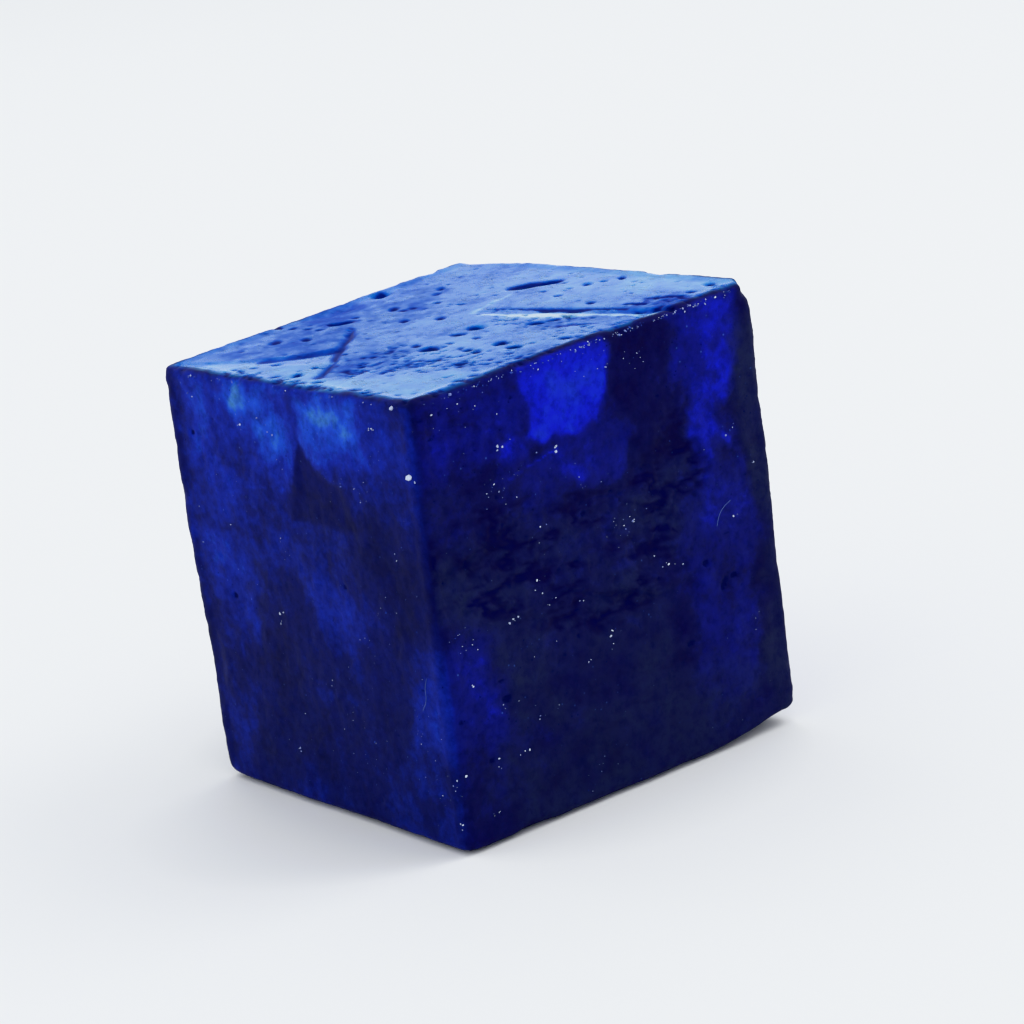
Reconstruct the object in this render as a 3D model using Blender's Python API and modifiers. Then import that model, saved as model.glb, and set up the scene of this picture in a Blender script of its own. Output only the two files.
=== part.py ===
"""Rough tanzanite: one blocky crystal fragment, ledged and pitted on top, worn along its edges.

Metres, +Z up. The origin is the middle of the base, the front side faces -Y and the right
side faces +X. The whole crystal is one object, stone.
"""

import math
import random
from dataclasses import dataclass

import bmesh
import bpy
from mathutils import Matrix, Vector, noise

MM = 0.001
SEED = 23

# The block's own size: how far each side stands from the middle of the base.
HEIGHT = 10.1 * MM
FRONT_REACH = 4.63 * MM
RIGHT_REACH = 4.68 * MM
BACK_REACH = 4.88 * MM
LEFT_REACH = 4.67 * MM

# The grain of the surface: cells along a side, then the height and length of its swells.
CELLS = 11
SWELL = 0.05 * MM
SWELL_LENGTH = 2.6 * MM
RIPPLE = 0.025 * MM
RIPPLE_LENGTH = 0.9 * MM
TOP_CALM = 0.35

# How far the edges are worn round.
TOP_WEAR = 0.17 * MM
BASE_WEAR = 0.26 * MM
UPRIGHT_WEAR = {
    ("left", "front"): 0.14 * MM,
    ("right", "front"): 0.26 * MM,
    ("right", "back"): 0.32 * MM,
    ("left", "back"): 0.3 * MM,
}
WEAR_STEPS = 2
SHARP = math.radians(60)
LEVEL = 0.9
UPRIGHT_BELOW = 2 * BASE_WEAR
FOOT = 0.1 * BASE_WEAR

# Chips along the edges: spacing, size range and how deep they bite past the worn edge.
CHIP_SPACING = 1.15 * MM
CHIP_SIZE = (0.22 * MM, 0.75 * MM)
CHIP_BITE = (0.01 * MM, 0.05 * MM)
CHIP_ROUGHNESS = 0.22
CHIP_PLACE = (0.15, 0.85)
CHIP_STRETCH = (0.9, 1.9)

CUT_ABOVE = 1.2 * MM
CUT_LIP = 0.15 * MM


@dataclass(frozen=True)
class Side:
    """A flat side: which way it faces, the directions along it, its reach and its two leans."""

    out: Vector
    across: Vector
    up: Vector
    reach: float
    lean_across: float
    lean_up: float

    def point(self, across, up):
        """The point on the side at these distances along its two directions."""
        reach = self.reach
        reach += math.tan(math.radians(self.lean_across)) * across
        reach += math.tan(math.radians(self.lean_up)) * up
        return self.out * reach + self.across * across + self.up * up

    def normal(self):
        """The side's outward normal."""
        tilt = self.across * math.tan(math.radians(self.lean_across))
        tilt += self.up * math.tan(math.radians(self.lean_up))
        return (self.out - tilt).normalized()

    def frame(self, across, up, turn=0.0):
        """A frame on the side: X turned by this angle from across, Z pointing outwards."""
        normal = self.normal()
        x_axis = (self.across - normal * self.across.dot(normal)).normalized()
        turned = Matrix.Rotation(turn, 3, normal) @ x_axis
        y_axis = normal.cross(turned)
        axes = Matrix((turned, y_axis, normal)).transposed().to_4x4()
        return Matrix.Translation(self.point(across, up)) @ axes


X, Y, Z = Vector((1, 0, 0)), Vector((0, 1, 0)), Vector((0, 0, 1))
SIDES = {
    "front": Side(-Y, X, Z, FRONT_REACH, 0.88, -0.45),
    "right": Side(X, Y, Z, RIGHT_REACH, 1.0, 0.5),
    "back": Side(Y, -X, Z, BACK_REACH, -0.9, 0.05),
    "left": Side(-X, -Y, Z, LEFT_REACH, -0.97, 0.65),
    "top": Side(Z, X, Y, HEIGHT, 1.19, 2.0),
    "base": Side(-Z, Y, X, 0.0, 0.0, 0.0),
}

# Corners broken off flat: three points of each break, in the frame.
BREAKS = {
    "back left top": (
        Vector((-4.85, 4.3, 10.15)) * MM,
        Vector((-1.3, 4.9, 10.25)) * MM,
        Vector((-4.85, 4.84, 9.3)) * MM,
    ),
    "back right base": (
        Vector((4.72, 1.7, 0.0)) * MM,
        Vector((4.79, 4.9, 0.45)) * MM,
        Vector((2.9, 4.85, 0.0)) * MM,
    ),
    "front left base": (
        Vector((-4.62, -4.2, 0.0)) * MM,
        Vector((-4.1, -4.58, 0.0)) * MM,
        Vector((-4.62, -4.57, 0.3)) * MM,
    ),
}


@dataclass(frozen=True)
class Ledge:
    """A tilted flake gone from a side, which leaves a low wall.

    wall lists the foot of the wall, and hinge the line where the floor meets the side again.
    """

    side: str
    wall: tuple
    hinge: tuple
    depth: float


LEDGES = (
    Ledge("top", ((0.1, 1.3), (0.7, 1.55), (1.9, 1.83), (2.9, 2.1), (3.6, 2.3), (4.4, 2.6), (4.95, 2.9)),
          ((-0.5, 1.0), (5.6, 0.3)), 0.09),
    Ledge("top", ((-4.9, -4.35), (-2.95, -3.59), (-1.69, -2.77), (-1.1, -1.9)),
          ((-5.2, -5.3), (-0.2, -3.0)), 0.07),
    Ledge("top", ((-4.95, -0.95), (-4.48, -0.73), (-3.93, -0.26), (-3.9, 0.5), (-5.0, 1.0)),
          ((-5.3, -1.6), (-5.6, 1.4)), 0.05),
    Ledge("right", ((-4.9, 6.1), (-3.63, 6.29), (-2.8, 6.38), (-1.7, 5.7), (-0.9, 5.5)),
          ((-5.0, 4.4), (-0.4, 4.9)), 0.11),
    Ledge("right", ((-1.9, 4.3), (-1.01, 4.68), (0.2, 4.5), (1.2, 4.18), (2.4, 4.3)),
          ((-2.2, 3.1), (2.8, 3.2)), 0.12),
    Ledge("right", ((-1.9, 8.3), (-0.6, 7.9), (0.8, 8.1), (1.5, 7.2)),
          ((-2.2, 7.2), (1.3, 6.4)), 0.09),
    Ledge("front", ((0.1, 7.4), (0.18, 8.0), (0.36, 8.7), (0.86, 8.13), (1.27, 7.97), (1.7, 7.86)),
          ((-0.3, 6.6), (2.2, 6.6)), 0.035),
    Ledge("left", ((-3.2, 7.6), (-1.2, 7.0), (0.9, 7.3), (2.6, 6.5), (3.7, 6.6)),
          ((-3.6, 5.6), (4.0, 5.2)), 0.15),
    Ledge("left", ((-4.9, 3.4), (-2.9, 3.0), (-1.4, 3.5), (0.3, 2.9)),
          ((-5.0, 1.6), (0.7, 1.9)), 0.12),
    Ledge("back", ((-2.1, 8.3), (-0.4, 8.8), (1.6, 8.1), (3.1, 8.6), (4.9, 8.2)),
          ((-2.5, 6.8), (5.0, 6.4)), 0.14),
    Ledge("back", ((-3.6, 4.9), (-2.2, 4.1), (-0.2, 4.6), (1.9, 3.8)),
          ((-3.9, 2.9), (2.3, 2.6)), 0.13),
)


@dataclass(frozen=True)
class Scoop:
    """A rounded hollow in a side: its middle, half length, half width, depth and turn."""

    side: str
    across: float
    up: float
    length: float
    width: float
    depth: float
    turn: float = 0.0


@dataclass(frozen=True)
class Bite:
    """A large chip: a point on the sharp edge, the ways it points out and along, and its size.

    depth is how far it reaches in from that point, before the edge was worn.
    """

    point: tuple
    out: tuple
    along: tuple
    length: float
    size: float
    depth: float


BITES = (
    Bite((4.82, 4.95, 2.35), (1, 1, 0), (0, 0, 1), 0.85, 0.6, 0.27),
    Bite((4.8, 4.95, 6.3), (1, 1, 0), (0, 0, 1), 0.6, 0.5, 0.17),
    Bite((4.93, 4.97, 10.37), (1, 1, 0.6), (1, -1, 0), 0.8, 0.7, 0.45),
    Bite((-0.35, -4.57, 10.08), (0, -1, 1), (1, 0, 0), 1.0, 0.5, 0.19),
    Bite((1.35, -4.6, 10.12), (0, -1, 1), (1, 0, 0), 0.6, 0.4, 0.16),
    Bite((4.78, 1.2, 10.24), (1, 0, 1), (0, 1, 0), 0.7, 0.4, 0.17),
    Bite((-4.8, 4.85, 0.0), (-1, 1, -0.5), (1, 1, 0), 1.1, 0.9, 0.5),
    Bite((-4.7, -4.56, 6.1), (-1, -1, 0), (0, 0, 1), 0.8, 0.5, 0.14),
    Bite((-4.82, 4.86, 5.2), (-1, 1, 0), (0, 0, 1), 1.1, 0.7, 0.3),
    Bite((-1.6, 4.86, 0.0), (0, 1, -1), (1, 0, 0), 1.2, 0.7, 0.3),
    Bite((-4.78, 0.6, 0.0), (-1, 0, -1), (0, 1, 0), 1.0, 0.6, 0.28),
    Bite((2.1, 4.9, 10.3), (0, 1, 1), (1, 0, 0), 1.0, 0.5, 0.2),
)

# Pits on the top, then on the two sides that meet at the near corner.
PITS = (
    Scoop("top", 1.01, 0.15, 0.26, 0.17, 0.12, 20),
    Scoop("top", 1.07, -0.39, 0.24, 0.09, 0.07, 35),
    Scoop("top", 1.37, -1.44, 0.25, 0.16, 0.12, 25),
    Scoop("top", 0.81, -1.40, 0.14, 0.10, 0.07),
    Scoop("top", 2.30, 0.88, 0.34, 0.13, 0.10, 30),
    Scoop("top", 2.65, 1.52, 0.24, 0.13, 0.09, 15),
    Scoop("top", 4.31, 2.20, 0.26, 0.15, 0.11, 40),
    Scoop("top", 2.89, -0.62, 0.24, 0.15, 0.10, 20),
    Scoop("top", 3.48, -0.73, 0.18, 0.11, 0.08, 20),
    Scoop("top", 2.47, -1.26, 0.16, 0.11, 0.07),
    Scoop("top", 3.24, -2.12, 0.20, 0.10, 0.07, 30),
    Scoop("top", 4.18, 0.11, 0.17, 0.10, 0.07, 30),
    Scoop("top", -4.33, 1.52, 0.30, 0.19, 0.11, 60),
    Scoop("top", -3.13, -0.56, 0.36, 0.13, 0.08, 50),
    Scoop("top", -2.77, 0.70, 0.17, 0.13, 0.09),
    Scoop("top", -2.28, 0.90, 0.13, 0.10, 0.07),
    Scoop("top", -1.48, 0.10, 0.13, 0.10, 0.07),
    Scoop("top", -0.68, 0.46, 0.15, 0.11, 0.07),
    Scoop("top", -2.78, 2.01, 0.16, 0.12, 0.07),
    Scoop("top", -3.13, 2.40, 0.18, 0.12, 0.07),
    Scoop("top", -3.39, -2.27, 0.18, 0.12, 0.07, 40),
    Scoop("top", -2.75, -1.85, 0.17, 0.11, 0.07, 40),
    Scoop("top", -0.23, -3.92, 0.24, 0.14, 0.10, 50),
    Scoop("top", 0.76, 3.66, 0.16, 0.12, 0.07),
    Scoop("top", 1.27, 4.24, 0.16, 0.12, 0.07),
    Scoop("top", 2.31, 2.40, 0.15, 0.10, 0.06),
    Scoop("top", 4.11, 4.37, 0.18, 0.11, 0.07),
    Scoop("top", 4.45, 0.72, 0.15, 0.11, 0.08, 20),
    Scoop("top", 2.82, -1.30, 0.12, 0.09, 0.06),
    Scoop("top", -0.32, -3.34, 0.13, 0.10, 0.07, 20),
    Scoop("top", -1.55, -3.40, 0.17, 0.09, 0.06, 20),
    Scoop("right", 2.92, 5.23, 0.14, 0.12, 0.09),
    Scoop("right", 3.05, 4.14, 0.20, 0.14, 0.09, 60),
    Scoop("right", 2.49, 4.69, 0.12, 0.10, 0.08),
    Scoop("right", 1.83, 3.17, 0.17, 0.13, 0.09),
    Scoop("right", -3.29, 3.10, 0.22, 0.12, 0.08, 15),
    Scoop("right", -3.64, 8.60, 0.20, 0.12, 0.07, 60),
    Scoop("front", -1.32, 4.51, 0.16, 0.12, 0.07, 70),
    Scoop("front", -3.40, 5.60, 0.12, 0.10, 0.06),
)

# The dark slot in the top is two gouges end to end, and the crack is a run of grooves.
GOUGES = (
    Scoop("top", -0.80, 3.12, 0.42, 0.20, 0.16, 50),
    Scoop("top", -0.50, 3.44, 0.38, 0.15, 0.13, 50),
)
CRACK = ((-2.35, -0.86), (-1.75, -1.42), (-0.81, -2.38), (0.41, -3.75))
CRACK_HALF_WIDTH = 0.085
CRACK_DEPTH = 0.07

# Wide shallow hollows where flakes have come off, which leave low ridges between them.
SCARS = (
    Scoop("right", -1.5, 7.0, 1.1, 0.7, 0.06, 40),
    Scoop("right", 0.0, 6.3, 1.4, 0.8, 0.08, 15),
    Scoop("right", 1.3, 5.7, 1.1, 0.8, 0.08, 60),
    Scoop("right", 2.2, 6.7, 1.1, 0.7, 0.06, 75),
    Scoop("right", 0.8, 7.1, 0.9, 0.6, 0.07, 10),
    Scoop("right", -1.3, 5.5, 1.1, 0.6, 0.07, 70),
    Scoop("right", 2.4, 5.0, 0.9, 0.6, 0.05, 30),
    Scoop("right", -2.8, 6.2, 1.1, 0.6, 0.05, 20),
    Scoop("right", 0.1, 3.5, 1.3, 0.8, 0.06, 15),
    Scoop("right", -1.6, 3.2, 1.0, 0.7, 0.05, 60),
    Scoop("right", 4.7, 2.5, 0.9, 0.6, 0.07, 85),
    Scoop("right", 4.9, 6.9, 1.0, 0.5, 0.05, 85),
    Scoop("front", -4.6, 2.6, 1.4, 0.6, 0.08, 85),
    Scoop("front", -2.6, 4.4, 1.2, 0.8, 0.03, 60),
    Scoop("front", 1.2, 5.2, 1.5, 0.7, 0.03, 80),
    Scoop("front", 3.3, 6.6, 1.0, 0.5, 0.04, 85),
    Scoop("front", -0.8, 1.9, 1.2, 0.7, 0.03, 20),
    Scoop("left", -2.3, 8.7, 1.3, 0.7, 0.10, 15),
    Scoop("left", 2.2, 8.4, 1.1, 0.8, 0.08, 70),
    Scoop("left", 1.9, 4.0, 1.6, 0.9, 0.10, 40),
    Scoop("left", -1.6, 5.0, 0.9, 0.7, 0.07, 30),
    Scoop("left", 3.4, 1.7, 1.0, 0.7, 0.08, 60),
    Scoop("back", -3.2, 7.0, 1.2, 0.8, 0.09, 30),
    Scoop("back", 2.9, 5.4, 1.4, 0.8, 0.09, 70),
    Scoop("back", 0.3, 6.2, 1.0, 0.6, 0.07, 10),
    Scoop("back", -1.9, 2.2, 1.5, 0.8, 0.09, 20),
    Scoop("back", 3.3, 1.9, 1.0, 0.7, 0.08, 50),
    Scoop("left", -3.6, 3.2, 1.3, 0.8, 0.06, 20),
    Scoop("back", -3.6, 8.9, 1.4, 0.8, 0.06, 60),
)
SCAR_ROUNDNESS = 0.45 * MM
SCAR_ROUGHNESS = 0.04
PIT_ROUNDNESS = 2.2
PIT_ROUGHNESS = 0.1
LUMP_STEPS = (0.21 * MM, 1.1 * MM)
SLIVER = 0.0005 * MM


def clear_scene():
    """Removes every object the file starts with."""
    for obj in list(bpy.data.objects):
        bpy.data.objects.remove(obj, do_unlink=True)


def new_collection(name):
    """A collection in the scene."""
    made = bpy.data.collections.new(name)
    bpy.context.scene.collection.children.link(made)
    return made


def new_object(name, bm, collection):
    """An object from a bmesh, with the bmesh freed."""
    mesh = bpy.data.meshes.new(name)
    bm.to_mesh(mesh)
    bm.free()
    obj = bpy.data.objects.new(name, mesh)
    collection.objects.link(obj)
    return obj


def crystal_material():
    """Deep blue, glassy and a little worn."""
    material = bpy.data.materials.new("Tanzanite")
    material.use_nodes = True
    shader = material.node_tree.nodes["Principled BSDF"]
    shader.inputs["Base Color"].default_value = (0.008, 0.024, 0.22, 1.0)
    shader.inputs["Roughness"].default_value = 0.3
    shader.inputs["Metallic"].default_value = 0.0
    shader.inputs["IOR"].default_value = 1.69
    material.diffuse_color = (0.02, 0.05, 0.4, 1.0)
    return material


def cut_flat(bm, point, normal):
    """Cuts away what lies beyond a plane and closes the cut."""
    geometry = bm.verts[:] + bm.edges[:] + bm.faces[:]
    cut = bmesh.ops.bisect_plane(
        bm, geom=geometry, dist=1e-8, plane_co=point, plane_no=normal, clear_outer=True
    )
    rim = [item for item in cut["geom_cut"] if isinstance(item, bmesh.types.BMEdge)]
    bmesh.ops.contextual_create(bm, geom=rim)


def leaning_block():
    """The block between its six sides, as a bmesh of six quads."""
    bm = bmesh.new()
    bmesh.ops.create_cube(bm, size=4 * HEIGHT)
    for side in SIDES.values():
        cut_flat(bm, side.point(0, 0), side.normal())
    bmesh.ops.recalc_face_normals(bm, faces=bm.faces[:])
    return bm


def block_edges(bm):
    """Each edge of the block as its two ends and the way it points out."""
    edges = []
    for edge in bm.edges:
        ends = sorted((tuple(vert.co) for vert in edge.verts))
        out = (edge.link_faces[0].normal + edge.link_faces[1].normal).normalized()
        edges.append((Vector(ends[0]), Vector(ends[1]), out))
    return sorted(edges, key=lambda edge: tuple(edge[0]) + tuple(edge[1]))


def wear_of(middle, along):
    """How far the edge through this point is worn round."""
    if abs(along.z) < 0.5:
        return TOP_WEAR if middle.z > HEIGHT / 2 else BASE_WEAR
    across = "right" if middle.x > 0 else "left"
    return UPRIGHT_WEAR[across, "back" if middle.y > 0 else "front"]


def worn_block(bm, collection):
    """The block in small cells with every edge worn round, each by its own width."""
    bmesh.ops.subdivide_edges(bm, edges=bm.edges[:], cuts=CELLS - 1, use_grid_fill=True)
    most = max(BASE_WEAR, TOP_WEAR, *UPRIGHT_WEAR.values())
    weights = bm.edges.layers.float.new("bevel_weight_edge")
    for edge in bm.edges:
        if edge.calc_face_angle() > SHARP:
            start, end = (vert.co for vert in edge.verts)
            edge[weights] = wear_of((start + end) / 2, (end - start).normalized()) / most
    stone = new_object("stone", bm, collection)
    bevel = stone.modifiers.new("Worn edges", "BEVEL")
    bevel.limit_method = "WEIGHT"
    bevel.width = most
    bevel.segments = WEAR_STEPS
    bevel.use_clamp_overlap = False
    return stone


def apply_modifiers(obj):
    """Gives the object the mesh that its modifiers make, and removes them."""
    graph = bpy.context.evaluated_depsgraph_get()
    mesh = bpy.data.meshes.new_from_object(obj.evaluated_get(graph))
    obj.modifiers.clear()
    obj.data = mesh


def swell(obj):
    """Moves the surface in and out in low swells, calmer on the top and none on the base."""
    bm = bmesh.new()
    bm.from_mesh(obj.data)
    bm.normal_update()
    moves = []
    for vert in bm.verts:
        height = SWELL * noise.noise(vert.co / SWELL_LENGTH)
        height += RIPPLE * noise.noise(vert.co / RIPPLE_LENGTH)
        if vert.normal.z > LEVEL:
            height *= TOP_CALM
        out = vert.normal.copy()
        if vert.co.z < UPRIGHT_BELOW:
            out.z = 0.0
        if vert.co.z < FOOT:
            height = 0.0
        moves.append((vert, out * height))
    for vert, move in moves:
        vert.co += move
    bm.to_mesh(obj.data)
    bm.free()


def break_corners(obj):
    """Cuts each broken corner off flat."""
    bm = bmesh.new()
    bm.from_mesh(obj.data)
    middle = Vector((0, 0, HEIGHT / 2))
    for first, second, third in BREAKS.values():
        normal = (second - first).cross(third - first).normalized()
        if normal.dot(first - middle) < 0:
            normal.negate()
        cut_flat(bm, first, normal)
    bmesh.ops.triangulate(bm, faces=bm.faces[:])
    bmesh.ops.recalc_face_normals(bm, faces=bm.faces[:])
    bm.to_mesh(obj.data)
    bm.free()


def add_lump(bm, matrix, radii, rng, roughness):
    """Adds an uneven rounded lump to a cutter, with more faces where it is large."""
    size = Matrix.Diagonal((*radii, 1.0))
    fineness = 1 + sum(max(radii) > limit for limit in LUMP_STEPS)
    spin = Matrix.Rotation(rng.uniform(0.0, math.tau), 4, "X")
    spin = spin @ Matrix.Rotation(rng.uniform(0.0, math.tau), 4, "Z")
    made = bmesh.ops.create_icosphere(bm, subdivisions=fineness, radius=1.0, matrix=spin)
    for vert in made["verts"]:
        uneven = 1.0 + roughness * rng.uniform(-1.0, 1.0)
        vert.co = matrix @ size @ (vert.co * uneven)


def add_ledge(bm, ledge):
    """Adds a ledge's flake: a slab whose underside tilts down from the hinge to the wall."""
    side = SIDES[ledge.side]
    hinge = [Vector(point) * MM for point in ledge.hinge]
    run = hinge[1] - hinge[0]
    turn = math.atan2(run.y, run.x)
    local = [Matrix.Rotation(-turn, 2) @ (Vector(point) * MM - hinge[0]) for point in ledge.wall]
    reach = max(abs(point.y) for point in local)
    toward = math.copysign(1.0, local[len(local) // 2].y)
    lip = -toward * CUT_LIP
    outline = [(point.x, point.y) for point in local]
    outline += [(max(run.length, local[-1].x), lip), (min(0.0, local[0].x), lip)]
    corners = [bm.verts.new((x, y, 0.0)) for x, y in outline]
    floor = bm.faces.new(corners)
    lifted = bmesh.ops.extrude_face_region(bm, geom=[floor])
    roof = [item for item in lifted["geom"] if isinstance(item, bmesh.types.BMVert)]
    bmesh.ops.translate(bm, verts=roof, vec=(0.0, 0.0, CUT_ABOVE))
    tilt = Matrix.Rotation(-toward * math.atan2(ledge.depth * MM, reach), 4, "X")
    place = side.frame(hinge[0].x, hinge[0].y, turn) @ tilt
    bmesh.ops.transform(bm, matrix=place, verts=corners + roof)


def add_scoop(bm, scoop, rng, roundness, roughness):
    """Adds the lump that leaves this scoop, sunk so that it bites as wide as the scoop."""
    side = SIDES[scoop.side]
    depth = scoop.depth * MM
    half_height = roundness(depth)
    share = math.sqrt(1.0 - (1.0 - depth / half_height) ** 2)
    radii = (scoop.length * MM / share, scoop.width * MM / share, half_height)
    place = side.frame(scoop.across * MM, scoop.up * MM, math.radians(scoop.turn))
    place = place @ Matrix.Translation((0.0, 0.0, half_height - depth))
    add_lump(bm, place, radii, rng, roughness)


def add_crack(bm):
    """Adds the crack's grooves: square prisms on edge, half sunk in the top."""
    side = SIDES["top"]
    for start, end in zip(CRACK, CRACK[1:]):
        first, last = Vector(start) * MM, Vector(end) * MM
        run = last - first
        middle = (first + last) / 2
        turned = side.frame(middle.x, middle.y, math.atan2(run.y, run.x))
        lengthwise = Matrix.Rotation(math.radians(90), 4, "Y")
        size = Matrix.Diagonal((CRACK_DEPTH * MM, CRACK_HALF_WIDTH * MM, 1.0, 1.0))
        bmesh.ops.create_cone(
            bm, cap_ends=True, segments=4, radius1=1.0, radius2=1.0,
            depth=run.length + CRACK_HALF_WIDTH * MM, matrix=turned @ lengthwise @ size,
        )


def add_chip(bm, point, out, along, length, size, depth, rng):
    """Adds the lump that chips an edge to this depth below a point on it."""
    across = out.cross(along).normalized()
    axes = Matrix((across.cross(out), across, out)).transposed().to_4x4()
    place = Matrix.Translation(point + out * (size - depth)) @ axes
    add_lump(bm, place, (length, size, size), rng, CHIP_ROUGHNESS)


def edge_chips(edges, rng):
    """A cutter that bites small chips out of every edge, and the large ones where they are."""
    bm = bmesh.new()
    for start, end, out in edges:
        along = (end - start).normalized()
        worn_back = wear_of((start + end) / 2, along) * (math.sqrt(2.0) - 1.0)
        count = round((end - start).length / CHIP_SPACING)
        for step in range(count):
            share = (step + rng.uniform(*CHIP_PLACE)) / count
            size = CHIP_SIZE[0] + (CHIP_SIZE[1] - CHIP_SIZE[0]) * rng.random() ** 2
            depth = worn_back + rng.uniform(*CHIP_BITE)
            length = size * rng.uniform(*CHIP_STRETCH)
            add_chip(bm, start.lerp(end, share), out, along, length, size, depth, rng)
    for bite in BITES:
        point, out, along = Vector(bite.point) * MM, Vector(bite.out), Vector(bite.along)
        sizes = (bite.length * MM, bite.size * MM, bite.depth * MM)
        add_chip(bm, point, out.normalized(), along.normalized(), *sizes, rng)
    return bm


def make_cutters(edges, collection):
    """The cutters, in the order in which they bite."""
    rng = random.Random(SEED)
    scars = bmesh.new()
    for scar in SCARS:
        add_scoop(scars, scar, rng, lambda depth: SCAR_ROUNDNESS + depth, SCAR_ROUGHNESS)
    ledges = bmesh.new()
    for ledge in LEDGES:
        add_ledge(ledges, ledge)
    chips = edge_chips(edges, rng)
    pits = bmesh.new()
    for pit in PITS + GOUGES:
        add_scoop(pits, pit, rng, lambda depth: PIT_ROUNDNESS * depth, PIT_ROUGHNESS)
    add_crack(pits)
    cutters = []
    for name, bm in (("scars", scars), ("ledges", ledges), ("chips", chips), ("pits", pits)):
        bmesh.ops.recalc_face_normals(bm, faces=bm.faces[:])
        cutter = new_object(name + "_cutter", bm, collection)
        cutter.hide_render = True
        cutter.display_type = "WIRE"
        cutters.append(cutter)
    return cutters


def cut(stone, cutters):
    """Takes each cutter out of the stone in turn, leaving triangles for the next."""
    for cutter in cutters:
        boolean = stone.modifiers.new("Cut " + cutter.name, "BOOLEAN")
        boolean.operation = "DIFFERENCE"
        boolean.solver = "EXACT"
        boolean.use_self = True
        boolean.object = cutter
        apply_modifiers(stone)
        bm = bmesh.new()
        bm.from_mesh(stone.data)
        bmesh.ops.dissolve_degenerate(bm, dist=SLIVER, edges=bm.edges[:])
        bmesh.ops.triangulate(bm, faces=bm.faces[:])
        bm.to_mesh(stone.data)
        bm.free()


def main():
    """Builds the crystal."""
    clear_scene()
    part = new_collection("Rough tanzanite")
    tools = new_collection("Cutters")
    tools.hide_render = True
    block = leaning_block()
    edges = block_edges(block)
    stone = worn_block(block, part)
    apply_modifiers(stone)
    swell(stone)
    break_corners(stone)
    stone.data.materials.clear()
    stone.data.materials.append(crystal_material())
    cut(stone, make_cutters(edges, tools))


main()
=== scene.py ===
"""A rough block of tanzanite: its worn surface, its uneven blue, its dust, and a plain studio.

Lengths are in millimetres where a name or a docstring says so, and in metres elsewhere.
"""
import logging
import math
import random
from dataclasses import dataclass
from enum import Enum
from typing import Iterable, Optional, Sequence, Union

import bpy
import numpy as np
from mathutils import Matrix, Vector, noise
from mathutils.bvhtree import BVHTree


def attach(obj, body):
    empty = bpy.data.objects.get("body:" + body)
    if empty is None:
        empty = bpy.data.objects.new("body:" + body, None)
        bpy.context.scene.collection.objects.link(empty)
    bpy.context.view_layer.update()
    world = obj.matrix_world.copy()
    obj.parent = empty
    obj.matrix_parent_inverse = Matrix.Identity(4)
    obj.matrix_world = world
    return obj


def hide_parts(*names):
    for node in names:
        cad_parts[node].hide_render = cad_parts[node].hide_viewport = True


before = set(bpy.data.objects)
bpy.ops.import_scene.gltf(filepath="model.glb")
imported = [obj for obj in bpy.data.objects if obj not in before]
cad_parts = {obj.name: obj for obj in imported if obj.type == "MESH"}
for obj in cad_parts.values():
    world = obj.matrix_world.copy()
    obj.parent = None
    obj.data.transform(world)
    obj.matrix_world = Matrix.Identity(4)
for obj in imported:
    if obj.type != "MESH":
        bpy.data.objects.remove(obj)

MM = 0.001
NODE = "stone"
BODY = "root"

# Vertices nearer to each other than this are one, in metres.
MERGE_WITHIN = 0.0000001
# How far out a ray starts that looks for the stone's surface, in millimetres.
FAR_OUT = 20.0

log = logging.getLogger("tanzanite")

Pair = tuple[float, float]
Triple = tuple[float, float, float]
Colour = tuple[float, float, float]
# A range of a value, and the range that it is turned into.
Ease = tuple[float, float, float, float]


class Face(Enum):
    """The block's five visible sides: which way each looks, and its across and up directions."""

    FRONT = ((0, -1, 0), (1, 0, 0), (0, 0, 1))
    RIGHT = ((1, 0, 0), (0, 1, 0), (0, 0, 1))
    BACK = ((0, 1, 0), (1, 0, 0), (0, 0, 1))
    LEFT = ((-1, 0, 0), (0, 1, 0), (0, 0, 1))
    TOP = ((0, 0, 1), (1, 0, 0), (0, 1, 0))

    @property
    def out(self) -> Vector:
        """The direction in which the side looks."""
        return Vector(self.value[0])

    @property
    def across(self) -> Vector:
        """The direction along which the first of a place's two numbers is measured."""
        return Vector(self.value[1])

    @property
    def up(self) -> Vector:
        """The direction along which the second of a place's two numbers is measured."""
        return Vector(self.value[2])

    def point(self, at: Pair, out: float) -> Vector:
        """Turn a place on the side into a point in space.

        Args:
            at: How far across and up the place is.
            out: How far out from the block's axis the point lies.

        Returns:
            The point, in the unit of the numbers given.
        """
        return self.across * at[0] + self.up * at[1] + self.out * out


def each(kind: type, face: Face, *rows: tuple) -> tuple:
    """Make one mark, or one gathering of dust, on a side from each row of its other values."""
    return tuple(kind(face, *row) for row in rows)


# Working with objects -------------------------------------------------------------------------


def pick(*objects: bpy.types.Object) -> None:
    """Select only the given objects, and make the first of them active.

    Args:
        *objects: The objects, of which there is at least one.
    """
    for other in bpy.context.selected_objects:
        other.select_set(False)
    for piece in objects:
        piece.select_set(True)
    bpy.context.view_layer.objects.active = objects[0]


def apply_modifier(piece: bpy.types.Object, kind: str, **settings: object) -> None:
    """Add a modifier to a piece, set it and apply it.

    Args:
        piece: The object that the modifier works on.
        kind: The modifier's type, in capitals.
        **settings: The modifier's own settings.
    """
    modifier = piece.modifiers.new(kind.title(), kind)
    for name, value in settings.items():
        setattr(modifier, name, value)
    pick(piece)
    bpy.ops.object.modifier_apply(modifier=modifier.name)


def resize(piece: bpy.types.Object, factor: float) -> None:
    """Scale a piece about the origin and put the scale into its mesh.

    Args:
        piece: The piece, which isn't scaled yet.
        factor: How many times as large it becomes.
    """
    pick(piece)
    piece.scale = (factor, factor, factor)
    bpy.ops.object.transform_apply(location=True, rotation=True, scale=True)


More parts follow.
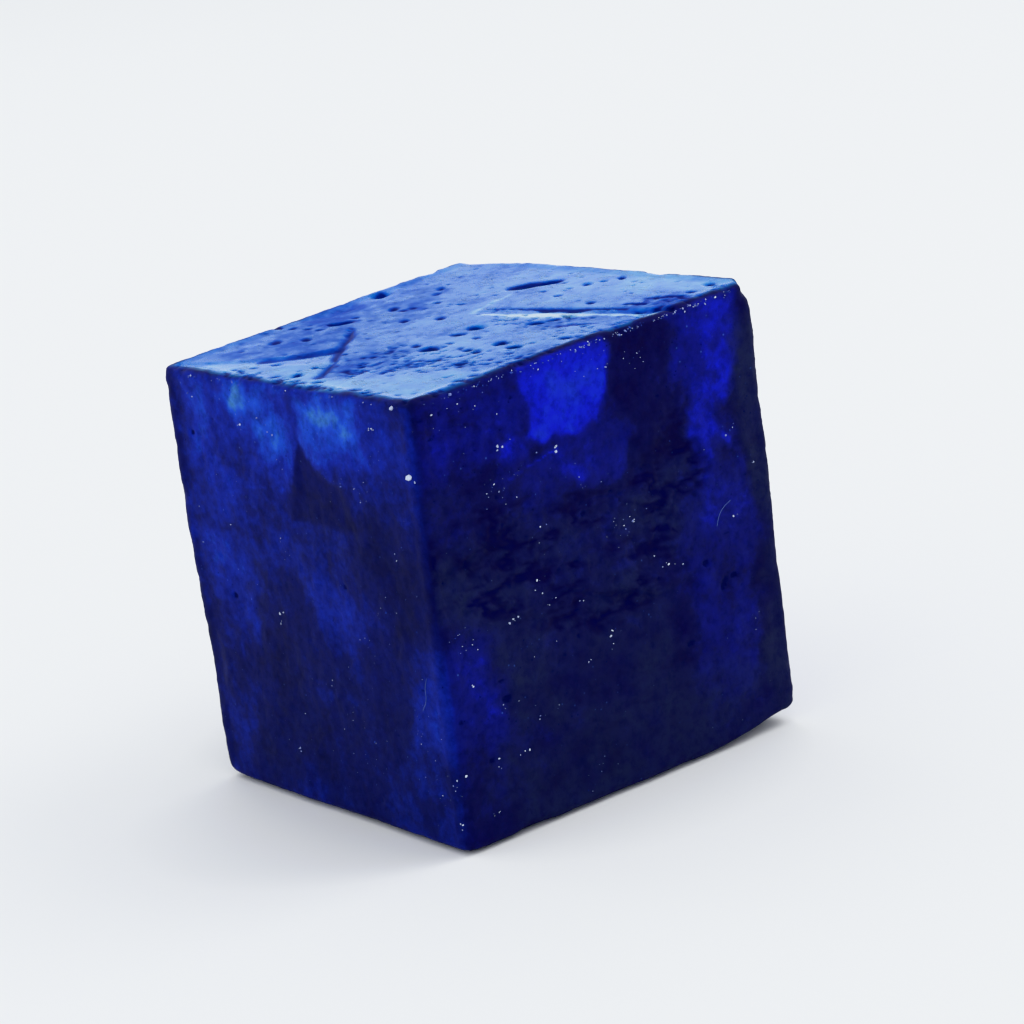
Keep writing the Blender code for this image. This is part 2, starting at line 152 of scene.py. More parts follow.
def vectors_of(parts: bpy.types.bpy_prop_collection, name: str) -> np.ndarray:
    """Give one vector of each of a mesh's vertices or faces.

    Args:
        parts: The vertices or the faces.
        name: The vector's name: co for the place, normal for the way that the part looks.

    Returns:
        An array with one row for each part.
    """
    flat = np.empty(len(parts) * 3, dtype=np.float32)
    parts.foreach_get(name, flat)
    return flat.reshape(-1, 3)


def smooth_step(values: np.ndarray, start: float, end: float) -> np.ndarray:
    """Ease from 0 at start to 1 at end, which may be the smaller of the two."""
    share = np.clip((values - start) / (end - start), 0.0, 1.0)
    return share * share * (3.0 - 2.0 * share)


def weigh(piece: bpy.types.Object, name: str, weights: np.ndarray, steps: int = 48) -> None:
    """Store weights in a vertex group, in a limited number of levels.

    Args:
        piece: The object that gets the group.
        name: The group's name.
        weights: One weight for each vertex, from 0 to 1.
        steps: The number of levels between 0 and 1.
    """
    group = piece.vertex_groups.new(name=name)
    levels = np.rint(np.clip(weights, 0.0, 1.0) * steps).astype(int)
    for level in range(1, steps + 1):
        members = np.nonzero(levels == level)[0]
        if len(members):
            group.add(members.tolist(), level / steps, "REPLACE")


def paint(mesh: bpy.types.Mesh, name: str, values: np.ndarray) -> None:
    """Store one number for each vertex as a mesh attribute."""
    attribute = mesh.attributes.new(name, "FLOAT", "POINT")
    attribute.data.foreach_set("value", values.astype(np.float32))


# Building materials ---------------------------------------------------------------------------


class Graph:
    """A node tree with short ways to add nodes and join them."""

    def __init__(self, tree: bpy.types.NodeTree) -> None:
        """Keep the tree that the nodes go into."""
        self.tree = tree

    def plug(self, socket: bpy.types.NodeSocket, source: object) -> None:
        """Link a socket to another socket, or set it to a plain value.

        Args:
            socket: The input to link or set.
            source: A socket or a value.
        """
        if isinstance(source, bpy.types.NodeSocket):
            self.tree.links.new(source, socket)
        else:
            socket.default_value = source

    def node(self, kind: str, inputs: Optional[dict] = None, **settings: object) -> bpy.types.Node:
        """Add a node.

        Args:
            kind: The name of the node's type.
            inputs: Values or sockets for the inputs, by name or number.
            **settings: The node's own settings.

        Returns:
            The new node.
        """
        made = self.tree.nodes.new(kind)
        for name, value in settings.items():
            setattr(made, name, value)
        for key, source in (inputs or {}).items():
            self.plug(made.inputs[key], source)
        return made

    def math(self, operation: str, *values: object, clamp: bool = False) -> bpy.types.NodeSocket:
        """Join numbers by a Math node and give its result."""
        made = self.node("ShaderNodeMath", dict(enumerate(values)), operation=operation, use_clamp=clamp)
        return made.outputs[0]

    def noise(self, place: object, scale: object, detail: float = 2.0,
              roughness: float = 0.5) -> bpy.types.NodeSocket:
        """Give a noise value from 0 to 1 at a place."""
        inputs = {"Vector": place, "Scale": scale, "Detail": detail, "Roughness": roughness}
        return self.node("ShaderNodeTexNoise", inputs).outputs["Fac"]

    def between(self, value: object, low: object, high: object, to_low: float = 0.0,
                to_high: float = 1.0) -> bpy.types.NodeSocket:
        """Ease a value smoothly from one range into another."""
        inputs = {0: value, 1: low, 2: high, 3: to_low, 4: to_high}
        return self.node("ShaderNodeMapRange", inputs, interpolation_type="SMOOTHSTEP").outputs[0]

    def mix(self, share: object, first: object, second: object) -> bpy.types.NodeSocket:
        """Mix two colours.

        Args:
            share: How much of the second there is, as a number or a socket.
            first: A colour or a socket.
            second: A colour or a socket.

        Returns:
            The mixed colour.
        """
        made = self.node("ShaderNodeMix", data_type="RGBA")
        for socket, source in zip((made.inputs[0], made.inputs[6], made.inputs[7]), (share, first, second)):
            if isinstance(source, tuple) and len(source) == 3:
                source = (*source, 1.0)
            self.plug(socket, source)
        return made.outputs[2]

    def attribute(self, name: str) -> bpy.types.NodeSocket:
        """Read a number painted on the mesh."""
        return self.node("ShaderNodeAttribute", attribute_name=name).outputs["Fac"]

    def ramp(self, value: object, stops: Sequence[tuple[float, Colour]]) -> bpy.types.NodeSocket:
        """Turn a value into a colour by way of a row of colours.

        Args:
            value: The value, as a number or a socket.
            stops: Each colour of the row, after its place from 0 to 1.

        Returns:
            The colour.
        """
        made = self.node("ShaderNodeValToRGB", {0: value})
        row = made.color_ramp.elements
        while len(row) < len(stops):
            row.new(1.0)
        for element, (position, colour) in zip(row, stops):
            element.position = position
            element.color = (*colour, 1.0)
        return made.outputs[0]

    def group(self, tree: bpy.types.NodeTree, **inputs: object) -> bpy.types.Node:
        """Place a node group, with its inputs by name."""
        return self.node("ShaderNodeGroup", inputs, node_tree=tree)


class Effect:
    """A shader node group that makes masks from a place and some numbers."""

    name = "Effect"
    numbers: Sequence[tuple[str, float]] = ()
    results: Sequence[str] = ("Mask",)

    def tree(self) -> bpy.types.NodeTree:
        """Build the group's tree.

        Returns:
            The tree.
        """
        made = bpy.data.node_groups.new(self.name, "ShaderNodeTree")
        made.interface.new_socket("Vector", in_out="INPUT", socket_type="NodeSocketVector")
        for name, value in self.numbers:
            socket = made.interface.new_socket(name, in_out="INPUT", socket_type="NodeSocketFloat")
            socket.default_value = value
        for name in self.results:
            made.interface.new_socket(name, in_out="OUTPUT", socket_type="NodeSocketFloat")
        graph = Graph(made)
        entry = graph.node("NodeGroupInput")
        leave = graph.node("NodeGroupOutput")
        for socket, value in zip(leave.inputs, self.fill(graph, entry)):
            graph.plug(socket, value)
        return made

    def fill(self, graph: Graph, entry: bpy.types.Node) -> Sequence[bpy.types.NodeSocket]:
        """Build the nodes between the group's inputs and outputs.

        Args:
            graph: The group's tree.
            entry: The node that holds the group's inputs.

        Returns:
            A socket for each result.
        """
        raise NotImplementedError


class Specks(Effect):
    """Tiny dots at random places, of which only a share shows: some bright, and as many dark."""

    name = "Specks"
    numbers = (("Scale", 8.0), ("Radius", 0.15), ("Share", 0.1))
    results = ("Bright", "Dark")

    core = 0.5
    strengths = (0.8, 0.2)

    def fill(self, graph: Graph, entry: bpy.types.Node) -> Sequence[bpy.types.NodeSocket]:
        """Take the points of a cell pattern and keep a share of them.

        Args:
            graph: The group's tree.
            entry: The node that holds the group's inputs.

        Returns:
            A socket for each result.
        """
        inputs = {"Vector": entry.outputs["Vector"], "Scale": entry.outputs["Scale"]}
        cells = graph.node("ShaderNodeTexVoronoi", inputs)
        inner = graph.math("MULTIPLY", entry.outputs["Radius"], self.core)
        dot = graph.between(cells.outputs["Distance"], entry.outputs["Radius"], inner)
        parts = graph.node("ShaderNodeSeparateColor", {0: cells.outputs["Color"]})
        strength = graph.math("MULTIPLY_ADD", parts.outputs[1], *self.strengths)
        lucky = graph.math("LESS_THAN", parts.outputs[0], entry.outputs["Share"])
        rest = graph.math("SUBTRACT", 1.0, entry.outputs["Share"])
        unlucky = graph.math("GREATER_THAN", parts.outputs[0], rest)
        shown = graph.math("MULTIPLY", dot, strength)
        return [graph.math("MULTIPLY", shown, lucky), graph.math("MULTIPLY", shown, unlucky)]


class Scratches(Effect):
    """Short fine lines that run one way, in broken stretches."""

    name = "Scratches"
    numbers = (("Scale", 6.0), ("Width", 0.04))

    stretch = (0.12, 1.0, 1.0)
    wobble = (3.0, 0.6)
    break_scale = 1.7
    broken_beyond = (0.52, 0.62)

    def fill(self, graph: Graph, entry: bpy.types.Node) -> Sequence[bpy.types.NodeSocket]:
        """Stretch a noise along one direction and keep a thin level line of it.

        Args:
            graph: The group's tree.
            entry: The node that holds the group's inputs.

        Returns:
            A socket for each result.
        """
        inputs = {"Vector": entry.outputs["Vector"], "Scale": self.stretch}
        long_way = graph.node("ShaderNodeMapping", inputs)
        lines = graph.noise(long_way.outputs[0], entry.outputs["Scale"], *self.wobble)
        offset = graph.math("ABSOLUTE", graph.math("SUBTRACT", lines, 0.5))
        line = graph.between(offset, entry.outputs["Width"], 0.0)
        breaks = graph.noise(entry.outputs["Vector"], self.break_scale)
        broken = graph.between(breaks, *self.broken_beyond)
        return [graph.math("MULTIPLY", line, broken)]


# Marks on the block's sides --------------------------------------------------------------------


class Survey:
    """Where each vertex of the block lies on each of its sides, in millimetres."""

    flat = 0.97
    facing_from = 0.55
    facing_fully = 0.86
    blotch_strength = 0.6
    wander = ((0.7, 0.55), (2.1, 0.28), (5.0, 0.10))
    seed = 2

    def __init__(self, mesh: bpy.types.Mesh) -> None:
        """Measure the vertices.

        Args:
            mesh: The block's mesh, in millimetres.
        """
        self.points = vectors_of(mesh.vertices, "co")
        self.normals = vectors_of(mesh.vertices, "normal")
        noise.seed_set(self.seed)
        shifts = np.array([self.shift(Vector(point)) for point in self.points])
        self.blotches = shifts.sum(axis=1) * self.blotch_strength
        self.places = {}
        self.drifts = {}
        self.facing = {}
        for face in Face:
            axes = np.array((face.across, face.up, face.out))
            looks = self.normals @ axes[2]
            reach = np.median((self.points @ axes[2])[looks > self.flat])
            self.places[face] = (self.points @ axes.T).T - np.array(((0.0,), (0.0,), (reach,)))
            self.drifts[face] = (shifts @ axes.T).T
            self.facing[face] = smooth_step(looks, self.facing_from, self.facing_fully)
        outs = [tuple(face.out) for face in Face] + [(0.0, 0.0, -1.0)]
        distances = np.abs([self.outside(out) for out in outs])
        self.edge = np.sort(distances, axis=0)[1]

    def shift(self, point: Vector) -> Vector:
        """Give how far a point is moved to make borders wander.

        Args:
            point: The point, in millimetres.

        Returns:
            The way that it is moved.
        """
        moved = Vector()
        for scale, reach in self.wander:
            moved += noise.noise_vector(point * scale) * reach
        return moved

    def on(self, face: Face, stray: float) -> np.ndarray:
        """Give each vertex's place on a side: across it, up it and outside it.

        Args:
            face: The side.
            stray: How much the places wander; 0 leaves them where they are.

        Returns:
            Three rows with one number for each vertex.
        """
        return self.places[face] + self.drifts[face] * stray

    def uneven(self, amount: float) -> np.ndarray:
        """Give a factor round 1 that varies in blotches, the more so the higher the amount."""
        return np.clip(1.0 + self.blotches * amount * 2.0, 0.0, 2.0)

    def outside(self, out: Sequence[float]) -> np.ndarray:
        """Fit a plane to the vertices that look one way.

        Args:
            out: The way that they look.

        Returns:
            How far each vertex lies outside the plane; below zero is inside.
        """
        mine = self.normals @ np.array(out) > self.flat
        middle = np.median(self.points[mine], axis=0)
        spread = self.points[mine] - middle
        across = np.linalg.svd(spread.T @ spread)[0][:, 2]
        return (self.points - middle) @ (across * np.sign(across @ np.array(out)))

    def sunk(self, cell: float = 0.1, blur: int = 4, reach: float = 6.0) -> np.ndarray:
        """Give how far each vertex of the top lies below the surface round it.

        Args:
            cell: The width of the cells that heights are gathered in.
            blur: How many cells each way count as round a vertex.
            reach: How far the cells go from the block's axis each way.

        Returns:
            One depth for each vertex, which means something on the top only.
        """
        top = self.facing[Face.TOP] > 0.0
        heights = self.outside(Face.TOP.out)
        columns = np.floor((self.points[:, :2] + reach) / cell).astype(int)
        count = int(2.0 * reach / cell)
        sums = np.zeros((count, count))
        members = np.zeros((count, count))
        np.add.at(sums, tuple(columns[top].T), heights[top])
        np.add.at(members, tuple(columns[top].T), 1.0)
        for axis in (0, 1):
            sums = sum(np.roll(sums, step, axis) for step in range(-blur, blur + 1))
            members = sum(np.roll(members, step, axis) for step in range(-blur, blur + 1))
        around = sums / np.maximum(members, 1.0)
        return around[tuple(columns.T)] - heights


def gap_to_route(across: np.ndarray, up: np.ndarray, route: Sequence[Pair]) -> np.ndarray:
    """Measure how far each place is from a row of straight stretches.

    Args:
        across: How far across the side each place is.
        up: How far up the side each place is.
        route: The points that the stretches join.

    Returns:
        The shortest distance from each place.
    """
    gap = np.full(len(across), np.inf)
    for (start_across, start_up), (end_across, end_up) in zip(route, route[1:]):
        run_across = end_across - start_across
        run_up = end_up - start_up
        ahead = (across - start_across) * run_across + (up - start_up) * run_up
        share = np.clip(ahead / (run_across ** 2 + run_up ** 2), 0.0, 1.0)
        off = np.hypot(across - start_across - share * run_across, up - start_up - share * run_up)
        gap = np.minimum(gap, off)
    return gap


def is_within(across: np.ndarray, up: np.ndarray, outline: Sequence[Pair]) -> np.ndarray:
    """Say which places lie within a closed outline, by how often a line from them crosses it.

    Args:
        across: How far across the side each place is.
        up: How far up the side each place is.
        outline: The corners of the outline.

    Returns:
        Whether each place lies within it.
    """
    within = np.zeros(len(across), dtype=bool)
    for (start_across, start_up), (end_across, end_up) in zip(outline, outline[1:] + outline[:1]):
        if start_up == end_up:
            continue
        spans = (start_up > up) != (end_up > up)
        share = (up - start_up) / (end_up - start_up)
        within ^= spans & (across < start_across + share * (end_across - start_across))
    return within


@dataclass(frozen=True)
class Patch:
    """A rounded region that is lighter than the rest, or darker.

    Args:
        face: The side that it is seen on.
        at: Its place on the side, in millimetres.
        size: Half its width and half its height, in millimetres.
        amount: How much it adds; below zero it takes away.
        edge: How soft its border is, as a share of its size.
        stray: How much its border wanders; 0 follows its outline exactly.
        depth: How far it reaches into the stone, in millimetres.
        mottle: How uneven it is inside.
    """

    face: Face
    at: Pair
    size: Pair
    amount: float
    edge: float = 0.3
    stray: float = 1.0
    depth: float = 1.0
    mottle: float = 0.6

    boxiness = 2.6

    def cover(self, survey: Survey) -> np.ndarray:
        """Give how much the region adds at each vertex.

        Args:
            survey: Where each vertex lies.

        Returns:
            One number for each vertex.
        """
        across, up, out = survey.on(self.face, self.stray)
        shares = ((across - self.at[0]) / self.size[0], (up - self.at[1]) / self.size[1], out / self.depth)
        share = sum(np.abs(part) ** self.boxiness for part in shares) ** (1.0 / self.boxiness)
        covered = smooth_step(share, 1.0 + self.edge, 1.0 - self.edge) * survey.facing[self.face]
        return covered * self.amount * survey.uneven(self.mottle)


@dataclass(frozen=True)
class Area:
    """A region with a drawn outline that is lighter than the rest, or darker.

    Args:
        face: The side that it is seen on.
        outline: Its corners on the side, in millimetres.
        amount: How much it adds; below zero it takes away.
        soft: Half the width of its border, in millimetres.
        stray: How much its border wanders; 0 follows its outline exactly.
        mottle: How uneven it is inside.
    """

    face: Face
    outline: tuple[Pair, ...]
    amount: float
    soft: float = 0.12
    stray: float = 0.4
    mottle: float = 0.6

    def cover(self, survey: Survey) -> np.ndarray:
        """Give how much the region adds at each vertex.

        Args:
            survey: Where each vertex lies.

        Returns:
            One number for each vertex.
        """
        across, up, _ = survey.on(self.face, self.stray)
        gap = gap_to_route(across, up, self.outline + self.outline[:1])
        inside = np.where(is_within(across, up, self.outline), gap, -gap)
        covered = smooth_step(inside, -self.soft, self.soft) * survey.facing[self.face]
        return covered * self.amount * survey.uneven(self.mottle)


@dataclass(frozen=True)
class Line:
    """A narrow mark along a route: a crack, or a pale or dark line.

    Args:
        face: The side that it is seen on.
        route: The points that it runs through, in millimetres.
        width: Half its width, in millimetres.
        amount: How much it adds, or how deep it is in millimetres.
        stray: How much it wanders; 0 follows its route exactly.
    """

    face: Face
    route: tuple[Pair, ...]
    width: float
    amount: float
    stray: float = 0.25

    usual_width = 0.75
    unevenness = 2.5
    narrowest = 0.3
    widest = 1.3
    core = 0.2

    def cover(self, survey: Survey) -> np.ndarray:
        """Give how much the line adds at each vertex.

        Args:
            survey: Where each vertex lies.

        Returns:
            One number for each vertex.
        """
        across, up, _ = survey.on(self.face, self.stray)
        uneven = self.usual_width + survey.drifts[self.face][1] * self.unevenness
        gap = gap_to_route(across, up, self.route) / np.clip(uneven, self.narrowest, self.widest)
        covered = smooth_step(gap, self.width, self.width * self.core)
        return covered * self.amount * survey.facing[self.face]


@dataclass(frozen=True)
class Pit:
    """A small hollow: its place, half its length and width, its depth and its turn in degrees."""

    face: Face
    at: Pair
    size: Pair
    depth: float
    turn: float = 0.0

    stray = 0.12
    lip = 1.25
    bottom = 0.25

    def cover(self, survey: Survey) -> np.ndarray:
        """Give how deep the pit is at each vertex.

        Args:
            survey: Where each vertex lies.

        Returns:
            One number for each vertex.
        """
        across, up, _ = survey.on(self.face, self.stray)
        angle = math.radians(self.turn)
        ahead = (across - self.at[0]) * math.cos(angle) + (up - self.at[1]) * math.sin(angle)
        aside = (up - self.at[1]) * math.cos(angle) - (across - self.at[0]) * math.sin(angle)
        share = np.hypot(ahead / self.size[0], aside / self.size[1])
        return smooth_step(share, self.lip, self.bottom) * self.depth * survey.facing[self.face]


@dataclass(frozen=True)
class PitField:
    """Many tiny pits over an area of one side.

    Args:
        face: The side.
        outline: The corners of the area, in millimetres.
        count: The number of pits.
        size: Their usual half length, in millimetres.
        depth: Their usual depth, in millimetres.
        seed: The start of the random numbers.
    """

    face: Face
    outline: tuple[Pair, ...]
    count: int
    size: float
    depth: float
    seed: int

    spare = 4
    size_spread = 0.35
    slimness = (0.55, 1.0)
    depth_range = (0.5, 1.2)
    stray = 0.1
    reach = 1.3
    lip = 1.2
    bottom = 0.2
    least_facing = 0.5

    def cover(self, survey: Survey) -> np.ndarray:
        """Give how deep the pits are at each vertex.

        Args:
            survey: Where each vertex lies.

        Returns:
            One number for each vertex.
        """
        chance = np.random.default_rng(self.seed)
        corners = np.array(self.outline)
        spots = chance.uniform(corners.min(axis=0), corners.max(axis=0), (self.count * self.spare, 2))
        spots = spots[is_within(spots[:, 0], spots[:, 1], self.outline)][:self.count]
        sizes = self.size * np.exp(chance.normal(0.0, self.size_spread, len(spots)))
        slims = chance.uniform(*self.slimness, len(spots))
        depths = self.depth * chance.uniform(*self.depth_range, len(spots))
        total = np.zeros(len(survey.points))
        mine = np.nonzero(survey.facing[self.face] > self.least_facing)[0]
        across, up, _ = survey.on(self.face, self.stray)[:, mine]
        for (spot_across, spot_up), size, slim, depth in zip(spots, sizes, slims, depths):
            reach = self.reach * size
            near = np.nonzero((np.abs(across - spot_across) < reach) & (np.abs(up - spot_up) < reach))[0]
            share = np.hypot(across[near] - spot_across, (up[near] - spot_up) / slim) / size
            deep = smooth_step(share, self.lip, self.bottom) * depth
            total[mine[near]] = np.maximum(total[mine[near]], deep)
        return total


Mark = Union[Patch, Area, Line, Pit, PitField]

# Painted light and shade on the sides: how much light the stone lets out at each place.
LIGHTS: tuple[Mark, ...] = (
    # Left of the near corner.
    Patch(Face.FRONT, (0.00, 9.60), (4.60, 2.60), 0.16, 0.60),
    Area(Face.FRONT, ((-2.3, 9.9), (0.1, 9.8), (0.2, 8.5), (-0.1, 7.6), (-1.1, 7.4), (-1.9, 7.3),
                      (-2.2, 8.4)),
         0.13, 0.22, 0.8),
    Patch(Face.FRONT, (-1.15, 9.15), (0.95, 0.75), 0.18, 0.45),
    Patch(Face.FRONT, (-1.75, 9.25), (0.30, 0.40), 0.12, 0.60),
    Area(Face.FRONT, ((0.4, 9.8), (3.0, 9.9), (3.1, 8.9), (2.4, 8.2), (1.6, 7.9), (1.0, 8.2), (0.5, 8.7)),
         0.15, 0.20, 0.8),
    Patch(Face.FRONT, (2.15, 9.35), (0.75, 0.60), 0.13, 0.50),
    Patch(Face.FRONT, (2.35, 9.35), (0.28, 0.40), 0.06, 0.70),
    Patch(Face.FRONT, (-3.30, 7.60), (1.10, 1.90), 0.09, 0.60),
    Patch(Face.FRONT, (-3.10, 4.80), (0.90, 1.20), 0.16, 0.50),
    Area(Face.FRONT, ((-0.3, 5.7), (0.6, 5.9), (1.3, 5.5), (1.6, 4.9), (1.3, 4.2), (0.7, 3.9), (0.1, 4.4)),
         0.14, 0.22, 0.7),
    *each(Patch, Face.FRONT,
        ((4.50, 3.30), (0.85, 1.40), 0.14, 0.45),
        ((3.70, 2.90), (0.50, 0.60), 0.05, 0.60),
        ((3.80, 6.30), (1.40, 2.00), -0.11, 0.50),
        ((2.00, 1.50), (1.20, 0.90), 0.05, 0.60),
        ((0.60, 2.90), (1.10, 0.50), 0.04, 0.60),
        ((-3.70, 1.20), (0.70, 1.00), 0.07, 0.60),
    ),
    Area(Face.FRONT, ((0.36, 8.72), (0.55, 8.42), (0.88, 8.12), (1.30, 7.93), (1.80, 7.80), (2.2, 6.9),
                      (-0.3, 6.9), (-0.05, 7.70), (0.10, 8.10), (0.20, 8.50)), -0.21, 0.09, 0.15, 0.3),
    Line(Face.FRONT, ((0.44, 8.74), (0.62, 8.50), (0.95, 8.20), (1.40, 8.00)), 0.10, 0.10, 0.1),
    Line(Face.FRONT, ((-1.95, 7.30), (-1.10, 7.37), (-0.20, 7.60)), 0.10, 0.10, 0.3),
    *each(Patch, Face.FRONT,
        ((2.60, 6.00), (1.50, 1.50), -0.08, 0.60),
        ((-1.50, 3.60), (0.55, 1.30), -0.06, 0.60),
        ((-1.50, 1.40), (1.30, 1.20), -0.05, 0.60),
        ((-0.50, 2.00), (3.60, 2.00), -0.07, 0.60),
        ((-4.60, 5.00), (0.35, 5.20), -0.14, 0.50),
    ),
    # Right of the near corner.
    Area(Face.RIGHT, ((-1.65, 10.2), (0.55, 10.2), (0.62, 9.6), (0.45, 9.1), (0.26, 8.35), (-0.1, 8.30),
                      (-0.6, 8.52), (-1.0, 8.42), (-1.35, 8.48), (-1.7, 8.66), (-1.5, 9.0), (-1.75, 9.5)),
         0.39, 0.14, 0.6, 0.4),
    *each(Patch, Face.RIGHT,
        ((-0.50, 9.15), (0.85, 0.85), 0.16, 0.70, 1.0, 1.0, 0.3),
        ((0.80, 9.60), (0.50, 0.50), 0.10, 0.80),
        ((-3.20, 9.20), (1.50, 0.90), 0.17, 0.50),
        ((-2.25, 8.50), (0.28, 0.25), 0.18, 0.50),
        ((-4.30, 9.00), (0.30, 0.50), 0.10, 0.60),
    ),
    Area(Face.RIGHT, ((-1.9, 8.0), (-1.0, 8.2), (-0.4, 8.4), (0.4, 8.3), (0.95, 7.9), (1.0, 7.3), (0.5, 6.9),
                      (-0.1, 6.95), (-0.9, 7.1), (-1.7, 7.0), (-2.0, 7.5)), 0.13, 0.25, 0.9, 1.0),
    Patch(Face.RIGHT, (-0.45, 7.50), (0.35, 0.22), 0.16, 0.70),
    Patch(Face.RIGHT, (-1.20, 7.90), (0.50, 0.25), 0.08, 0.70),
    Line(Face.RIGHT, ((-2.41, 7.80), (-1.76, 7.92), (-1.34, 8.00), (-1.01, 8.10)), 0.07, 0.22, 0.1),
    Area(Face.RIGHT, ((2.35, 10.4), (4.50, 10.4), (4.50, 8.7), (4.00, 8.0), (3.00, 8.0), (2.40, 8.5)),
         0.28, 0.22, 0.5, 0.5),
    *each(Patch, Face.RIGHT,
        ((3.20, 7.55), (0.55, 0.42), 0.21, 0.40),
        ((3.00, 6.70), (0.40, 0.55), 0.17, 0.50),
        ((3.86, 7.26), (0.14, 0.12), 0.20, 0.50),
        ((4.41, 6.34), (0.12, 0.16), 0.16, 0.60),
        ((3.60, 6.80), (0.85, 1.50), 0.09, 0.60),
    ),
    Area(Face.RIGHT, ((2.0, 4.3), (2.8, 5.0), (3.1, 6.0), (4.1, 6.0), (4.3, 4.4), (4.1, 2.0), (3.6, 0.9),
                      (2.1, 1.1), (1.95, 2.6)), 0.16, 0.50, 0.9),
    Area(Face.RIGHT, ((-5.2, 4.3), (-4.3, 4.5), (-3.42, 4.1), (-3.36, 3.2), (-3.30, 2.6), (-3.8, 2.2),
                      (-5.2, 2.1)), 0.17, 0.25, 0.6),
    Patch(Face.RIGHT, (-3.90, 3.20), (0.40, 0.60), 0.05, 0.60),
    Patch(Face.RIGHT, (-3.60, 1.60), (1.20, 0.90), 0.08, 0.80),
    Patch(Face.RIGHT, (-1.25, 2.05), (0.28, 0.30), 0.12, 0.60),
    Patch(Face.RIGHT, (0.62, 3.62), (0.16, 0.18), 0.14, 0.50),
    Area(Face.RIGHT, ((0.6, 10.3), (2.6, 10.3), (2.55, 9.0), (2.75, 8.0), (2.65, 7.0), (1.3, 6.9), (1.0, 8.4),
                      (0.5, 9.0)), -0.16, 0.12, 0.6),
    Line(Face.RIGHT, ((-0.91, 7.00), (-0.42, 6.95), (0.12, 6.80), (0.47, 6.84), (0.83, 7.01), (1.03, 7.37),
                      (1.01, 7.79)), 0.16, -0.22, 0.3),
    Patch(Face.RIGHT, (0.00, 5.60), (2.80, 1.40), -0.04, 0.50),
    Line(Face.RIGHT, ((-4.6, 6.35), (-3.63, 6.36), (-2.96, 6.50), (-2.50, 6.75)), 0.32, -0.14, 0.6),
    Line(Face.RIGHT, ((-3.10, 4.91), (-2.10, 4.70), (-1.26, 5.00), (-0.37, 4.66), (0.79, 4.43), (1.35, 4.06)),
         0.26, -0.12, 0.6),
    Line(Face.RIGHT, ((-0.20, 5.80), (0.38, 5.56), (1.28, 5.00)), 0.22, -0.10, 0.6),
    Patch(Face.RIGHT, (1.20, 0.70), (3.20, 0.90), -0.10, 0.50),
    Patch(Face.RIGHT, (0.20, 2.40), (1.60, 1.60), -0.05, 0.50),
    Patch(Face.RIGHT, (-0.80, 1.60), (3.60, 1.80), -0.06, 0.50),
    Patch(Face.RIGHT, (4.75, 5.00), (0.45, 5.40), -0.16, 0.40),
    # The sides away from the near corner.
    *each(Patch, Face.BACK,
        ((-1.70, 8.60), (1.40, 1.30), 0.34, 0.30),
        ((2.20, 7.60), (0.90, 1.80), 0.22, 0.40),
        ((-2.90, 3.90), (1.00, 1.60), 0.16, 0.40),
        ((1.10, 2.90), (1.50, 0.90), 0.14, 0.45),
        ((0.20, 5.60), (0.70, 1.90), -0.10, 0.45),
    ),
    *each(Patch, Face.LEFT,
        ((1.80, 8.80), (1.50, 1.10), 0.34, 0.30),
        ((-2.10, 8.10), (1.00, 1.50), 0.24, 0.40),
        ((2.60, 4.00), (0.90, 1.50), 0.18, 0.40),
        ((-1.20, 2.60), (1.40, 0.90), 0.14, 0.45),
        ((0.20, 6.00), (0.70, 1.80), -0.10, 0.45),
    ),
)

# How pale the top is: a painted sheen and painted light on the top.
TOP_SHEENS: tuple[Mark, ...] = (
    Area(Face.TOP, ((-4.8, 0.9), (-3.8, 0.6), (-3.0, -0.2), (-2.3, -0.9), (-1.5, -1.6), (-1.0, -2.1),
                    (-1.4, -2.6), (-2.2, -3.2), (-3.1, -3.6), (-4.8, -3.9)), -0.09, 0.25, 0.6),
    Area(Face.TOP, ((-4.8, 1.1), (-3.9, 0.7), (-3.2, -0.1), (-3.7, -0.9), (-4.8, -1.5)), -0.07, 0.25, 0.8),
    Area(Face.TOP, ((-3.3, -3.75), (-2.2, -3.35), (-1.4, -2.7), (-1.1, -2.2), (-0.4, -2.8), (0.3, -3.7),
                    (0.2, -4.5), (-4.0, -4.5)), 0.16, 0.15, 0.4),
    Area(Face.TOP, ((0.6, -3.9), (1.9, -3.4), (2.9, -2.5), (4.6, -2.2), (4.6, -4.6),
                    (0.4, -4.6)), 0.16, 0.30, 0.8),
    Area(Face.TOP, ((0.6, 4.9), (4.8, 4.9), (4.8, 3.9), (3.2, 3.6), (1.8, 3.9)), 0.15, 0.35, 0.8),
    *each(Patch, Face.TOP,
        ((-3.20, 3.20), (1.70, 1.60), -0.08, 0.60),
        ((-2.60, 0.90), (1.10, 0.50), -0.08, 0.70),
        ((1.40, -2.70), (1.40, 0.80), -0.07, 0.60),
        ((4.10, 0.10), (0.70, 0.90), 0.02, 0.60),
        ((-0.50, 4.20), (5.00, 1.40), 0.05, 0.60),
    ),
    Line(Face.TOP, ((-0.15, 0.95), (-0.25, 1.25), (-0.42, 1.85), (-0.58, 2.45)), 0.20, 0.30, 0.2),
    Line(Face.TOP, ((0.20, 0.98), (1.05, 1.18), (2.20, 1.58), (3.20, 1.86), (4.10, 2.10), (4.60, 2.28)),
         0.26, 0.50, 0.15),
    Line(Face.TOP, ((3.25, 0.85), (3.55, 1.05), (3.85, 1.25)), 0.22, -0.22, 0.3),
    Line(Face.TOP, ((3.40, 2.60), (3.75, 2.75), (3.55, 3.05), (3.85, 3.28), (4.20, 3.45), (4.65, 3.25)),
         0.20, -0.25, 0.4),
    Patch(Face.TOP, (4.40, 2.80), (0.40, 0.50), -0.15, 0.60),
)

